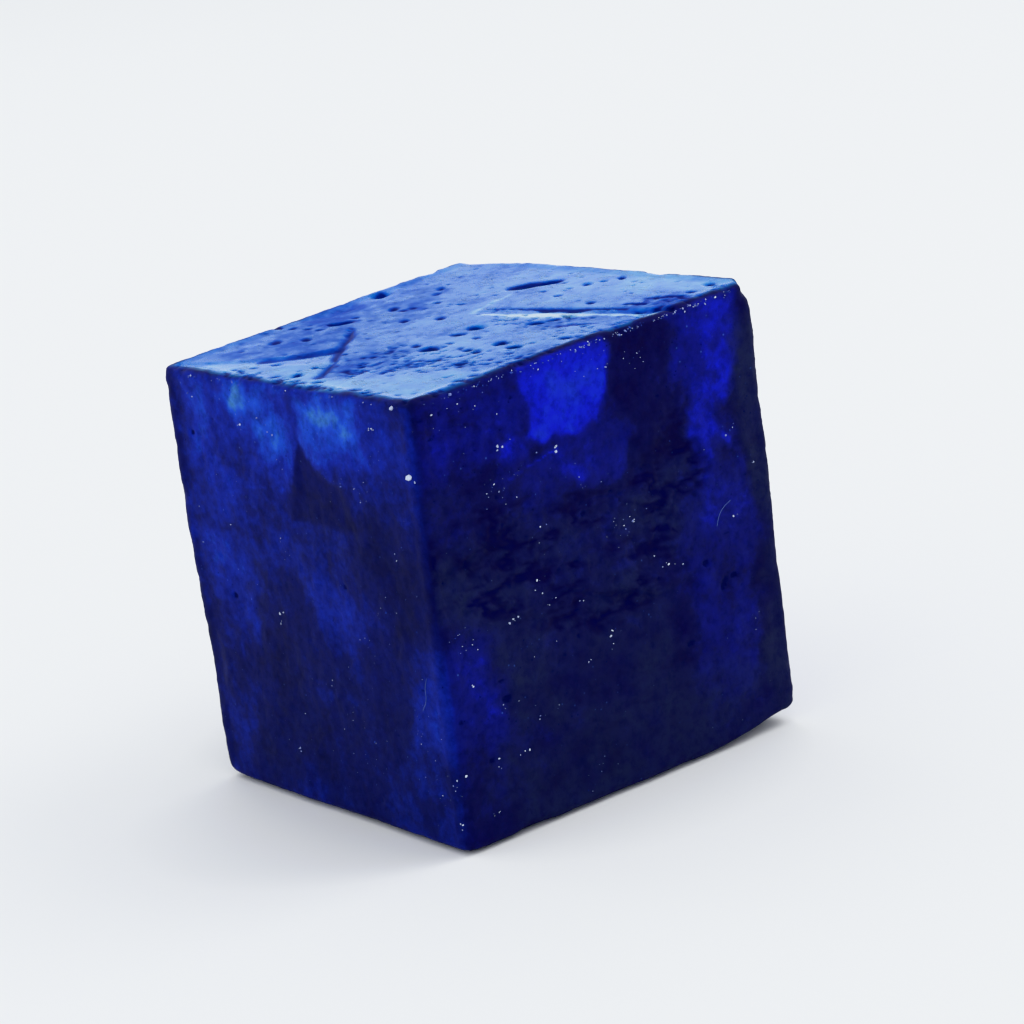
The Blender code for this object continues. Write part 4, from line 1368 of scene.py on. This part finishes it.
@dataclass
class CrystalBody:
    """The block itself: the solid's own form with the fine relief that the solid leaves out.

    Lengths are in millimetres. A pair says where something starts and where it is complete. A mix
    holds a plain level, and then how much the clouds, the columns and the mottle add to it. A layer
    of creases has how close together they are and how strong.
    """

    voxel: float = 0.13
    relaxing: float = 0.5
    rounds_before_fit: int = 3
    rounds_after_fit: int = 2
    edge_width: float = 0.45
    refined_beyond: float = 0.6
    calming: int = 14
    calm_slant: Pair = (0.3, 0.8)
    horn: Triple = (-4.85, 4.85, 10.2)
    horn_reach: Pair = (1.3, 0.2)
    blunting: int = 60
    base_margin: Pair = (0.02, 0.25)
    sharp_edge: float = 0.05
    least_wrinkled: float = 0.08
    swell: float = 0.012
    edge_swell: float = 0.045
    top_calm: float = 0.2
    deepest: float = 0.12
    dark_depth: float = 0.03
    lights: tuple[Mark, ...] = LIGHTS
    top_sheens: tuple[Mark, ...] = TOP_SHEENS
    frosts: tuple[Mark, ...] = FROSTS
    hollows: tuple[Mark, ...] = HOLLOWS
    wrinkles: tuple[Mark, ...] = WRINKLES
    clouds: Clouds = Clouds((0.45, 0.45, 0.45), 0.9, 2.0, 4)
    columns: Clouds = Clouds((1.2, 1.2, 0.32), 0.8, 2.0, 4)
    mottle: Clouds = Clouds((1.9, 1.9, 1.9), 0.8, 2.0, 3)
    creasing: Clouds = Clouds((1.0, 1.0, 2.6), 0.9, 2.1, 4)
    crease_layers: tuple[Pair, ...] = ((0.62, 1.0), (1.4, 0.55))
    crease_width: float = 0.26
    crease_depth: float = 0.024
    crease_shade: float = 0.32
    break_closeness: float = 1.1
    unbroken: Pair = (-0.55, 0.0)
    light_mix: tuple[float, ...] = (0.275, 0.10, 0.04, 0.06)
    top_sheen_mix: tuple[float, ...] = (0.48, 0.10, 0.06, 0.0)
    frost_mix: tuple[float, ...] = (0.90, 0.3, 0.0, 0.3)
    near_corner: Pair = (7.0, 8.5)
    glow_height: float = 3.3
    glow_reach: Pair = (1.9, 0.8)
    corner_glow: float = 0.28
    corner_shade: float = 0.13
    corner_frost: float = 0.35
    frost_lost_to_creases: float = 0.85
    frost_lost_to_glow: float = 0.8
    rim_stray: float = 0.15
    top_slant: Pair = (0.60, 0.88)
    top_reach: Pair = (0.65, 0.45)
    top_rim: Pair = (0.07, 0.20)
    turning: Pair = (0.3, 0.7)
    least_sideways: float = 0.001
    sunk_depth: Pair = (0.015, 0.05)
    darkest: float = 0.95
    reliefs: tuple[Relief, ...] = (
        Relief("sides", "CLOUDS", 0.40, 0.035, 0.5, (("noise_depth", 4),)),
        Relief("wrinkles", "CLOUDS", 0.45, 0.13, 0.55, (("noise_depth", 4), ("noise_type", "HARD_NOISE"))),
        Relief("edges", "CLOUDS", 0.30, 0.030, 0.5, (("noise_depth", 2),)),
        Relief("edges", "CLOUDS", 0.14, 0.020, 0.5, (("noise_depth", 2),)),
    )

    def build(self) -> bpy.types.Object:
        """Model the block from the solid.

        Returns:
            The finished object, at the origin and in metres.
        """
        solid = self.copy_solid()
        body = solid.copy()
        body.data = solid.data.copy()
        body.name = "tanzanite_block"
        bpy.context.scene.collection.objects.link(body)
        apply_modifier(body, "REMESH", mode="VOXEL", voxel_size=self.voxel, use_smooth_shade=True)
        self.refine(body)
        apply_modifier(body, "SMOOTH", factor=self.relaxing, iterations=self.rounds_before_fit)
        apply_modifier(body, "SHRINKWRAP", target=solid, wrap_method="NEAREST_SURFACEPOINT")
        apply_modifier(body, "SMOOTH", factor=self.relaxing, iterations=self.rounds_after_fit)
        bpy.data.objects.remove(solid)
        rise = vectors_of(body.data.vertices, "normal")[:, 2]
        weigh(body, "calmed", 1.0 - smooth_step(rise, *self.calm_slant))
        apply_modifier(body, "SMOOTH", factor=self.relaxing, iterations=self.calming, vertex_group="calmed")
        from_horn = np.linalg.norm(vectors_of(body.data.vertices, "co") - np.array(self.horn), axis=1)
        weigh(body, "blunted", smooth_step(from_horn, *self.horn_reach))
        apply_modifier(body, "SMOOTH", factor=self.relaxing, iterations=self.blunting, vertex_group="blunted")
        survey = Survey(body.data)
        creases = self.creases(survey)
        depths = np.maximum(self.total(self.hollows, survey, np.maximum), creases * self.crease_depth)
        self.group(body, survey, depths)
        self.colour(body, survey, depths, creases)
        apply_modifier(body, "DISPLACE", strength=self.swell, mid_level=0.0, vertex_group="raised")
        apply_modifier(body, "DISPLACE", strength=self.edge_swell, mid_level=0.0, vertex_group="edges")
        for relief in self.reliefs:
            self.roughen(body, relief)
        apply_modifier(body, "DISPLACE", strength=-self.deepest, mid_level=0.0, vertex_group="hollows")
        body.vertex_groups.clear()
        resize(body, MM)
        pick(body)
        bpy.ops.object.shade_smooth()
        log.info("%s: %d faces", body.name, len(body.data.polygons))
        return body

    def copy_solid(self) -> bpy.types.Object:
        """Copy the solid, merge its loose triangles and enlarge it to millimetres.

        Returns:
            The copy.
        """
        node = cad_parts[NODE]
        solid = bpy.data.objects.new("solid", node.data.copy())
        bpy.context.scene.collection.objects.link(solid)
        pick(solid)
        bpy.ops.object.mode_set(mode="EDIT")
        bpy.ops.mesh.select_all(action="SELECT")
        bpy.ops.mesh.remove_doubles(threshold=MERGE_WITHIN)
        bpy.ops.object.mode_set(mode="OBJECT")
        resize(solid, 1 / MM)
        return solid

    def refine(self, body: bpy.types.Object) -> None:
        """Divide the faces of the top, the front and the right once more, for their fine marks.

        Args:
            body: The block, in millimetres.
        """
        pick(body)
        bpy.ops.object.mode_set(mode="EDIT")
        bpy.ops.mesh.select_all(action="DESELECT")
        bpy.ops.object.mode_set(mode="OBJECT")
        outs = np.array([face.out for face in (Face.TOP, Face.FRONT, Face.RIGHT)])
        looks = vectors_of(body.data.polygons, "normal")
        chosen = (looks @ outs.T).max(axis=1) > self.refined_beyond
        body.data.polygons.foreach_set("select", chosen)
        bpy.ops.object.mode_set(mode="EDIT")
        bpy.ops.mesh.select_mode(type="FACE")
        bpy.ops.mesh.subdivide(number_cuts=1)
        bpy.ops.object.mode_set(mode="OBJECT")

    def total(self, marks: Sequence[Mark], survey: Survey, join: np.ufunc) -> np.ndarray:
        """Join what several marks give at each vertex.

        Args:
            marks: The marks.
            survey: Where each vertex lies.
            join: How one mark's numbers are joined with those of the marks before it.

        Returns:
            One number for each vertex.
        """
        total = np.zeros(len(survey.points))
        for mark in marks:
            total = join(total, mark.cover(survey))
        return total

    def mixed(self, mix: Sequence[float], patterns: Sequence[np.ndarray]) -> np.ndarray:
        """Add to a mix's first number the patterns, each times its own number after that."""
        return sum((share * pattern for share, pattern in zip(mix[1:], patterns)), mix[0])

    def creases(self, survey: Survey) -> np.ndarray:
        """Give how creased each vertex is: the broken level lines of two noises, stretched sideways.

        Args:
            survey: Where each vertex lies.

        Returns:
            One number for each vertex, from 0 to 1.
        """
        creased = np.zeros(len(survey.points))
        for fineness, strength in self.crease_layers:
            lines = np.abs(self.creasing.at(survey, fineness))
            creased = np.maximum(creased, smooth_step(lines, self.crease_width, 0.0) * strength)
        breaks = np.array([noise.noise(Vector(point) * self.break_closeness) for point in survey.points])
        shown = smooth_step(breaks, *self.unbroken) * self.total(self.wrinkles, survey, np.maximum)
        return creased * shown

    def group(self, body: bpy.types.Object, survey: Survey, depths: np.ndarray) -> None:
        """Say where each kind of relief goes, in vertex groups.

        Args:
            body: The block, in millimetres.
            survey: Where each vertex lies.
            depths: How deep each vertex lies in a hollow, in millimetres.
        """
        near_edge = smooth_step(survey.edge, self.edge_width, self.sharp_edge)
        above_base = smooth_step(survey.points[:, 2], *self.base_margin)
        is_top = survey.facing[Face.TOP]
        wrinkled = self.least_wrinkled + self.total(self.wrinkles, survey, np.maximum)
        weigh(body, "sides", above_base * (1.0 - is_top * (1.0 - self.top_calm)))
        weigh(body, "edges", near_edge * above_base)
        weigh(body, "raised", above_base)
        weigh(body, "wrinkles", wrinkled * (1.0 - near_edge) * (1.0 - is_top) * above_base)
        weigh(body, "hollows", depths / self.deepest * above_base)

    def colour(self, body: bpy.types.Object, survey: Survey, depths: np.ndarray, creases: np.ndarray) -> None:
        """Paint the masks that the finish reads.

        Args:
            body: The block, in millimetres.
            survey: Where each vertex lies.
            depths: How deep each vertex lies in a hollow, in millimetres.
            creases: How creased each vertex is.
        """
        corner = 1.0 - np.max(list(survey.facing.values()), axis=0)
        patterns = [kind.at(survey) for kind in (self.clouds, self.columns, self.mottle)]
        light = self.mixed(self.light_mix, patterns) + self.total(self.lights, survey, np.add)
        # The painted sheen and painted light on the top.
        top_sheen = self.mixed(self.top_sheen_mix, patterns) + self.total(self.top_sheens, survey, np.add)
        # Painted light low on the near corner, and painted shade in the creases and on the rounded edges
        # between sides.
        near = corner * smooth_step(survey.points[:, 0] - survey.points[:, 1], *self.near_corner)
        glow = near * smooth_step(np.abs(survey.points[:, 2] - self.glow_height), *self.glow_reach)
        light += self.corner_glow * glow - self.crease_shade * creases - self.corner_shade * corner
        patchy = np.clip(self.mixed(self.frost_mix, patterns), 0.0, 1.0)
        frost = self.total(self.frosts, survey, np.maximum) * patchy
        frost = np.maximum(frost, self.corner_frost * corner)
        frost = frost * (1.0 - self.frost_lost_to_creases * creases) * (1.0 - self.frost_lost_to_glow * glow)
        rim = survey.edge + survey.drifts[Face.TOP][0] * self.rim_stray
        below_top = -survey.outside(Face.TOP.out)
        top = smooth_step(survey.normals[:, 2], *self.top_slant) * smooth_step(below_top, *self.top_reach)
        top = top * smooth_step(rim, *self.top_rim)
        sideways = np.abs(survey.normals[:, :2])
        turned = sideways[:, 0] / (sideways.sum(axis=1) + self.least_sideways)
        # Painted shade in the top's hollows and in the marked cracks, pits and creases.
        sunk = smooth_step(survey.sunk(), *self.sunk_depth) * top
        marked = np.clip(depths / self.dark_depth, 0.0, 1.0)
        paint(body.data, "light", light)
        paint(body.data, "top_sheen", top_sheen)
        paint(body.data, "frost", frost)
        paint(body.data, "top", top)
        paint(body.data, "turned", smooth_step(turned, *self.turning))
        paint(body.data, "hollow", np.maximum(sunk, marked) * self.darkest)

    def roughen(self, body: bpy.types.Object, relief: Relief) -> None:
        """Press one texture into the block.

        Args:
            body: The block, in millimetres.
            relief: The texture, and where and how deep it goes.
        """
        texture = bpy.data.textures.new(relief.group, relief.kind)
        texture.noise_scale = relief.size
        for name, value in relief.settings:
            setattr(texture, name, value)
        apply_modifier(body, "DISPLACE", texture=texture, texture_coords="LOCAL", strength=relief.depth,
                       mid_level=relief.level, vertex_group=relief.group)
        bpy.data.textures.remove(texture)


# Dust and lint --------------------------------------------------------------------------------


@dataclass(frozen=True)
class Cluster:
    """A gathering of dust on one side, in millimetres. pale says how white its grains are."""

    face: Face
    at: Pair
    spread: Pair
    grains: int
    size: float = 0.009
    pale: float = 0.35


@dataclass(frozen=True)
class CrumbsAndGlints:
    """Crumbs along an edge, whose pale colour also stands in for glints of light there: its two ends, the way
    it points out, and the crumbs, in millimetres.
    """

    start: Triple
    end: Triple
    out: Triple
    spread: float
    grains: int
    size: float
    pale: float


@dataclass
class Dust:
    """Grains of pale dust, half sunk into the stone; along the top edges they also stand in for glints of
    light. Lengths are in millimetres.
    """

    clusters: tuple[Cluster, ...] = (
        *each(Cluster, Face.FRONT,
            ((2.30, 7.90), (0.39, 0.21), 15),
            ((-1.36, 4.55), (0.09, 0.16), 4, 0.022, 0.64),
            ((2.85, 5.43), (0.31, 0.29), 12),
            ((1.20, 2.66), (0.42, 0.34), 14),
            ((1.48, 1.42), (0.59, 0.23), 12),
            ((4.05, 1.48), (0.36, 0.23), 11, 0.012, 0.56),
            ((4.45, 8.44), (0.04, 0.05), 2, 0.045, 0.72),
            ((3.26, 9.42), (0.10, 0.08), 5, 0.022, 0.64),
            ((-0.20, 3.12), (0.33, 0.13), 5, 0.013),
            ((-1.44, 1.24), (0.07, 0.07), 3, 0.022, 0.48),
            ((3.37, 6.58), (0.05, 0.05), 2, 0.016, 0.64),
            ((-4.01, 5.92), (0.04, 0.04), 1, 0.022, 0.56),
            ((-2.79, 6.37), (0.04, 0.04), 1, 0.018, 0.48),
            ((-1.00, 6.05), (0.16, 0.26), 5, 0.013, 0.56),
            ((-1.92, 8.80), (0.07, 0.13), 3, 0.016, 0.48),
            ((-0.85, 8.90), (0.13, 0.20), 4, 0.014, 0.48),
            ((-0.50, 8.15), (0.05, 0.13), 3, 0.016, 0.48),
            ((-3.70, 9.20), (0.08, 0.08), 2, 0.018, 0.40),
            ((-3.52, 9.76), (0.10, 0.03), 3, 0.018, 0.56),
            ((4.05, 9.88), (0.04, 0.04), 1, 0.040, 0.72),
            ((3.60, 3.40), (0.13, 0.52), 6),
            ((1.95, 4.10), (0.26, 0.39), 6),
            ((3.80, 2.40), (0.39, 0.20), 5, 0.011, 0.56),
            ((4.49, 0.61), (0.07, 0.07), 3, 0.018, 0.72),
        ),
        *each(Cluster, Face.RIGHT,
            ((-4.18, 4.69), (0.17, 0.26), 14, 0.011, 0.48),
            ((0.80, 5.97), (0.17, 0.09), 6, 0.018, 0.72),
            ((0.35, 5.95), (0.21, 0.21), 11, 0.011, 0.64),
            ((-2.53, 8.60), (0.07, 0.09), 4, 0.030, 0.48),
            ((-2.81, 7.71), (0.31, 0.23), 16, 0.011, 0.48),
            ((-2.20, 7.90), (0.16, 0.10), 4),
            ((-1.01, 8.12), (0.05, 0.05), 2, 0.023, 0.72),
            ((-1.51, 8.19), (0.04, 0.04), 1, 0.022, 0.64),
            ((-0.55, 7.45), (0.26, 0.26), 5, 0.013, 0.48),
            ((-1.70, 5.85), (0.13, 0.29), 8, 0.010, 0.48),
            ((-1.85, 5.30), (0.07, 0.16), 4, 0.013, 0.56),
            ((-0.13, 3.49), (0.04, 0.16), 4, 0.016, 0.72),
            ((-0.82, 3.24), (0.04, 0.03), 2, 0.020, 0.80),
            ((-0.81, 4.61), (0.04, 0.04), 2, 0.018, 0.80),
            ((1.70, 4.70), (0.16, 0.07), 5, 0.016, 0.72),
            ((1.39, 4.98), (0.07, 0.04), 2, 0.016, 0.64),
            ((-1.55, 4.84), (0.13, 0.05), 4, 0.013, 0.64),
            ((-2.80, 4.77), (0.13, 0.07), 5, 0.016, 0.64),
            ((-1.61, 4.01), (0.04, 0.04), 1, 0.018, 0.64),
            ((-4.01, 3.70), (0.04, 0.04), 2, 0.020, 0.64),
            ((-3.14, 3.05), (0.16, 0.13), 4, 0.011, 0.56),
            ((-2.32, 3.77), (0.04, 0.04), 1, 0.018, 0.64),
            ((-2.82, 1.85), (0.03, 0.04), 2, 0.018, 0.80),
            ((-3.50, 1.90), (0.39, 0.16), 4, 0.016, 0.64),
            ((-4.60, 1.55), (0.13, 0.13), 4, 0.018, 0.72),
            ((-3.88, 0.74), (0.08, 0.07), 4, 0.016, 0.64),
            ((-0.90, 0.70), (0.31, 0.16), 9, 0.011, 0.48),
            ((-2.20, 2.50), (0.16, 0.13), 4, 0.011, 0.48),
            ((1.35, 9.50), (0.29, 0.18), 11, 0.012, 0.56),
            ((3.86, 7.26), (0.08, 0.08), 4, 0.018, 0.48),
            ((4.41, 6.34), (0.07, 0.08), 3, 0.018, 0.40),
            ((3.72, 5.36), (0.04, 0.04), 2, 0.016, 0.56),
            ((3.90, 2.80), (0.13, 0.20), 4, 0.013, 0.48),
            ((-3.40, 9.40), (1.17, 0.39), 18, 0.010, 0.40),
            ((-0.50, 9.70), (0.91, 0.29), 15, 0.011, 0.48),
        ),
        Cluster(Face.BACK, (-1.30, 6.60), (0.52, 0.52), 14),
        Cluster(Face.BACK, (2.30, 3.10), (0.39, 0.39), 11, 0.012, 0.56),
        Cluster(Face.BACK, (3.00, 8.70), (0.39, 0.26), 8, 0.011, 0.48),
        Cluster(Face.BACK, (-2.60, 2.00), (0.07, 0.07), 3, 0.022, 0.64),
        Cluster(Face.LEFT, (1.50, 5.20), (0.52, 0.52), 14),
        Cluster(Face.LEFT, (-2.20, 3.40), (0.39, 0.39), 11, 0.012, 0.56),
        Cluster(Face.LEFT, (-3.00, 8.90), (0.39, 0.26), 8, 0.011, 0.48),
        Cluster(Face.LEFT, (2.80, 2.10), (0.07, 0.07), 3, 0.022, 0.64),
    )
    # Pale crumbs along the top edges: grains of dust, whose paleness also stands in for glints of light on
    # the worn edges.
    rim_crumbs_and_glints: tuple[CrumbsAndGlints, ...] = (
        CrumbsAndGlints((4.75, -4.30, 9.96), (4.82, -0.30, 10.10), (1.0, 0.0, 0.35), 0.030, 51, 0.014, 0.24),
        CrumbsAndGlints((4.82, -0.30, 10.10), (4.88, 3.40, 10.24), (1.0, 0.0, 0.35), 0.024, 85, 0.015, 0.30),
        CrumbsAndGlints((4.88, 3.40, 10.24), (4.88, 4.50, 10.26), (1.0, 0.0, 0.35), 0.036, 17, 0.012, 0.24),
        CrumbsAndGlints((-4.20, -4.70, 9.80), (4.40, -4.75, 9.98), (0.0, -1.0, 0.35), 0.030, 34, 0.011, 0.18),
        CrumbsAndGlints((-4.40, 4.90, 10.00), (4.50, 5.00, 10.30), (0.0, 1.0, 0.35), 0.030, 57, 0.013, 0.24),
        CrumbsAndGlints((-4.80, -4.20, 9.80), (-4.80, 4.30, 10.00), (-1.0, 0.0, 0.35), 0.030, 57, 0.013, 0.24),
    )
    size_spread: float = 0.40
    paleness_spread: float = 0.25
    stretches: tuple[Pair, ...] = ((0.6, 1.1), (0.6, 1.1), (0.8, 1.6))
    angularity: float = 0.9
    patterns: int = 3
    lump_size: float = 0.6
    lump_step: float = 0.3
    raised: float = 0.1
    least_facing: float = 0.3
    strays: int = 300
    stray_across: Pair = (-4.3, 4.3)
    stray_up: Pair = (0.4, 9.6)
    stray_size: float = 0.007
    stray_paleness: float = 0.3
    finish: DustFinish = DustFinish()
    seed: int = 11

    def build(self, surface: BVHTree) -> bpy.types.Object:
        """Scatter the grains over the stone.

        Args:
            surface: The stone's surface, in metres.

        Returns:
            All grains as one object.
        """
        chance = random.Random(self.seed)
        patterns = [self.pattern(number) for number in range(self.patterns)]
        grains = []
        for cluster in self.clusters:
            for _ in range(cluster.grains):
                at = tuple(chance.gauss(middle, spread) for middle, spread in zip(cluster.at, cluster.spread))
                start = cluster.face.point(at, FAR_OUT)
                grains.append(self.grain(chance, patterns, surface, start, cluster.face.out, cluster))
        for rim in self.rim_crumbs_and_glints:
            for _ in range(rim.grains):
                out = Vector(rim.out).normalized()
                start = Vector(rim.start).lerp(Vector(rim.end), chance.random()) + out * FAR_OUT
                start += Vector([chance.gauss(0.0, rim.spread) for _ in range(3)])
                grains.append(self.grain(chance, patterns, surface, start, out, rim))
        sides = (Face.FRONT, Face.RIGHT, Face.BACK, Face.LEFT)
        for _ in range(self.strays):
            at = (chance.uniform(*self.stray_across), chance.uniform(*self.stray_up))
            stray = Cluster(chance.choice(sides), at, (0.0, 0.0), 1, self.stray_size, self.stray_paleness)
            start = stray.face.point(at, FAR_OUT)
            grains.append(self.grain(chance, patterns, surface, start, stray.face.out, stray))
        for pattern in patterns:
            bpy.data.objects.remove(pattern)
        grains = [grain for grain in grains if grain]
        pick(*grains)
        bpy.ops.object.transform_apply(location=True, rotation=True, scale=True)
        bpy.ops.object.join()
        dust = bpy.context.view_layer.objects.active
        dust.name = "dust_grains"
        dust.data.materials.clear()
        dust.data.materials.append(self.finish.build())
        log.info("%s: %d grains", dust.name, len(grains))
        return dust

    def pattern(self, number: int) -> bpy.types.Object:
        """Model one angular grain of unit size.

        Args:
            number: Its number among the patterns, from 0; a higher one has larger lumps.

        Returns:
            The grain.
        """
        bpy.ops.mesh.primitive_ico_sphere_add(subdivisions=1, radius=1.0)
        grain = bpy.context.object
        texture = bpy.data.textures.new("grain", "CLOUDS")
        texture.noise_scale = self.lump_size + self.lump_step * number
        apply_modifier(grain, "DISPLACE", texture=texture, strength=self.angularity, mid_level=0.5)
        bpy.data.textures.remove(texture)
        pick(grain)
        bpy.ops.object.shade_flat()
        return grain

    def grain(self, chance: random.Random, patterns: Sequence[bpy.types.Object], surface: BVHTree,
              start: Vector, out: Vector, kind: Union[Cluster, CrumbsAndGlints]) -> Optional[bpy.types.Object]:
        """Place one grain.

        Args:
            chance: The source of random numbers.
            patterns: The grains to copy from.
            surface: The stone's surface, in metres.
            start: A point outside the stone, in millimetres, from which the grain is dropped.
            out: The way from the stone to that point.
            kind: Says how large and how pale the grain is.

        Returns:
            The grain, or nothing where there is no surface below.
        """
        radius = kind.size * math.exp(chance.gauss(0.0, self.size_spread)) * MM
        spot, normal, _, _ = surface.ray_cast(start * MM, -out)
        pattern = chance.choice(patterns)
        turn = [chance.uniform(0, math.tau) for _ in range(3)]
        stretch = [chance.uniform(*span) for span in self.stretches]
        paleness = min(1.0, max(0.0, chance.gauss(kind.pale, self.paleness_spread)))
        if spot is None or normal.dot(out) < self.least_facing:
            return None
        made = pattern.copy()
        made.data = pattern.data.copy()
        paint(made.data, "paleness", np.full(len(made.data.vertices), paleness))
        made.location = spot + normal * radius * self.raised
        made.rotation_euler = turn
        made.scale = [radius * part for part in stretch]
        bpy.context.scene.collection.objects.link(made)
        return made


@dataclass
class Lint:
    """Thin fibres that cling to the sides. Lengths are in millimetres."""

    routes: tuple[tuple[Face, tuple[Pair, ...]], ...] = (
        (Face.FRONT, ((3.96, 3.95), (3.86, 3.72), (3.84, 3.45), (3.66, 3.18))),
        (Face.RIGHT, ((3.62, 5.66), (3.40, 5.56), (3.26, 5.42), (3.16, 5.18))),
        (Face.LEFT, ((-0.90, 4.10), (-0.72, 3.86), (-0.78, 3.55))),
    )
    radius: float = 0.006
    raised: float = 0.8
    paleness: float = 0.4
    finish: DustFinish = DustFinish(pale=(0.20, 0.26, 0.48), blue=(0.08, 0.12, 0.36))

    def build(self, surface: BVHTree) -> bpy.types.Object:
        """Lay the fibres on the stone.

        Args:
            surface: The stone's surface, in metres.

        Returns:
            All fibres as one mesh object.
        """
        made = []
        for face, places in self.routes:
            curve = bpy.data.curves.new("lint", "CURVE")
            curve.dimensions = "3D"
            curve.bevel_depth = self.radius * MM
            curve.bevel_resolution = 1
            curve.use_fill_caps = True
            spline = curve.splines.new("BEZIER")
            spline.bezier_points.add(len(places) - 1)
            for knot, at in zip(spline.bezier_points, places):
                spot, normal, _, _ = surface.ray_cast(face.point(at, FAR_OUT) * MM, -face.out)
                knot.co = spot + normal * self.radius * self.raised * MM
                knot.handle_left_type = "AUTO"
                knot.handle_right_type = "AUTO"
            fibre = bpy.data.objects.new("lint", curve)
            bpy.context.scene.collection.objects.link(fibre)
            made.append(fibre)
        pick(*made)
        bpy.ops.object.convert(target="MESH")
        bpy.ops.object.join()
        lint = bpy.context.view_layer.objects.active
        lint.name = "lint_fibres"
        bpy.ops.object.mode_set(mode="EDIT")
        bpy.ops.mesh.select_all(action="SELECT")
        bpy.ops.mesh.remove_doubles(threshold=MERGE_WITHIN)
        bpy.ops.mesh.normals_make_consistent(inside=False)
        bpy.ops.object.mode_set(mode="OBJECT")
        bpy.ops.object.shade_smooth()
        paint(lint.data, "paleness", np.full(len(lint.data.vertices), self.paleness))
        lint.data.materials.clear()
        lint.data.materials.append(self.finish.build())
        log.info("%s: %d fibres", lint.name, len(self.routes))
        return lint


# The studio -----------------------------------------------------------------------------------


@dataclass(frozen=True)
class Studio:
    """A pale floor, a pale surround and soft lamps."""

    floor_size: float = 3.0
    floor_colour: Colour = (0.84, 0.845, 0.85)
    floor_shade: float = 0.98
    floor_clouds: float = 25.0
    floor_roughness: float = 0.9
    floor_specular: float = 0.1
    surround: Colour = (0.95, 0.975, 1.0)
    surround_strength: float = 1.15
    lamps: tuple[tuple[Triple, float, float], ...] = (
        ((0.05, 0.09, 0.14), 0.09, 0.070),
        ((-0.10, 0.02, 0.12), 0.12, 0.026),
    )

    def build(self) -> None:
        """Make the floor, the surround and the lamps."""
        bpy.ops.mesh.primitive_plane_add(size=self.floor_size)
        floor = bpy.context.object
        floor.name = "floor"
        floor.data.materials.append(self.floor_finish())
        world = bpy.data.worlds.new("Surround")
        world.use_nodes = True
        background = world.node_tree.nodes["Background"]
        background.inputs["Color"].default_value = (*self.surround, 1.0)
        background.inputs["Strength"].default_value = self.surround_strength
        bpy.context.scene.world = world
        for number, (place, size, power) in enumerate(self.lamps):
            lamp = bpy.data.lights.new(f"lamp_{number}", "AREA")
            lamp.shape = "DISK"
            lamp.size = size
            lamp.energy = power
            holder = bpy.data.objects.new(lamp.name, lamp)
            holder.location = place
            holder.rotation_euler = Vector(place).to_track_quat("Z", "Y").to_euler()
            bpy.context.scene.collection.objects.link(holder)
        log.info("studio: floor and %d lamps", len(self.lamps))

    def floor_finish(self) -> bpy.types.Material:
        """Build the floor's matt, very slightly uneven finish.

        Returns:
            The finished material.
        """
        material = bpy.data.materials.new("Pale floor")
        material.use_nodes = True
        graph = Graph(material.node_tree)
        shader = material.node_tree.nodes["Principled BSDF"]
        coordinates = graph.node("ShaderNodeTexCoord")
        clouds = graph.noise(coordinates.outputs["Object"], self.floor_clouds)
        darker = tuple(part * self.floor_shade for part in self.floor_colour)
        graph.plug(shader.inputs["Base Color"], graph.mix(clouds, darker, self.floor_colour))
        shader.inputs["Roughness"].default_value = self.floor_roughness
        shader.inputs["Specular IOR Level"].default_value = self.floor_specular
        return material


@dataclass(frozen=True)
class Camera:
    """The view: a long lens near the block, tipped a little so that the block leans left."""

    position: Triple = (61.161 * MM, -45.342 * MM, 27.176 * MM)
    azimuth: float = 52.73
    elevation: float = 15.805
    roll: float = -7.994
    lens: float = 122.83
    sensor: float = 36.0

    def build(self) -> None:
        """Make the camera and use it for the scene."""
        azimuth = math.radians(self.azimuth)
        elevation = math.radians(self.elevation)
        roll = math.radians(self.roll)
        back = Vector((math.sin(azimuth) * math.cos(elevation), -math.cos(azimuth) * math.cos(elevation),
                       math.sin(elevation)))
        level = Vector((0.0, 0.0, 1.0)).cross(back).normalized()
        upright = back.cross(level)
        right = level * math.cos(roll) + upright * math.sin(roll)
        up = back.cross(right)
        data = bpy.data.cameras.new("camera")
        data.lens = self.lens
        data.sensor_width = self.sensor
        data.clip_start = 1 * MM
        data.clip_end = 10.0
        holder = bpy.data.objects.new("camera", data)
        placed = Matrix((right, up, back)).transposed().to_4x4()
        placed.translation = self.position
        holder.matrix_world = placed
        bpy.context.scene.collection.objects.link(holder)
        bpy.context.scene.camera = holder
        log.info("camera: %.1f mm lens", self.lens)


def dress(piece: bpy.types.Object, *replaced: str) -> None:
    """Tie a piece to the block's body, and hide the solids that it stands for.

    Args:
        piece: The finished piece.
        *replaced: The solids that it stands for.
    """
    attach(piece, BODY)
    if replaced:
        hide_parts(*replaced)


def surface_of(piece: bpy.types.Object) -> BVHTree:
    """Give a piece's surface in a form that rays can be cast on."""
    return BVHTree.FromObject(piece, bpy.context.evaluated_depsgraph_get())


def main() -> None:
    """Build the studio and the stone in order, and note the sizes."""
    logging.basicConfig(level=logging.INFO, format="%(name)s: %(message)s")
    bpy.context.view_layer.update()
    Camera().build()
    Studio().build()
    block = CrystalBody().build()
    block.data.materials.clear()
    block.data.materials.append(TanzaniteFinish().build())
    dress(block, NODE)
    surface = surface_of(block)
    dress(Dust().build(surface))
    dress(Lint().build(surface))
    settings = bpy.context.scene.view_settings
    settings.view_transform = "Khronos PBR Neutral"
    settings.look = "None"


if __name__ == "__main__":
    main()
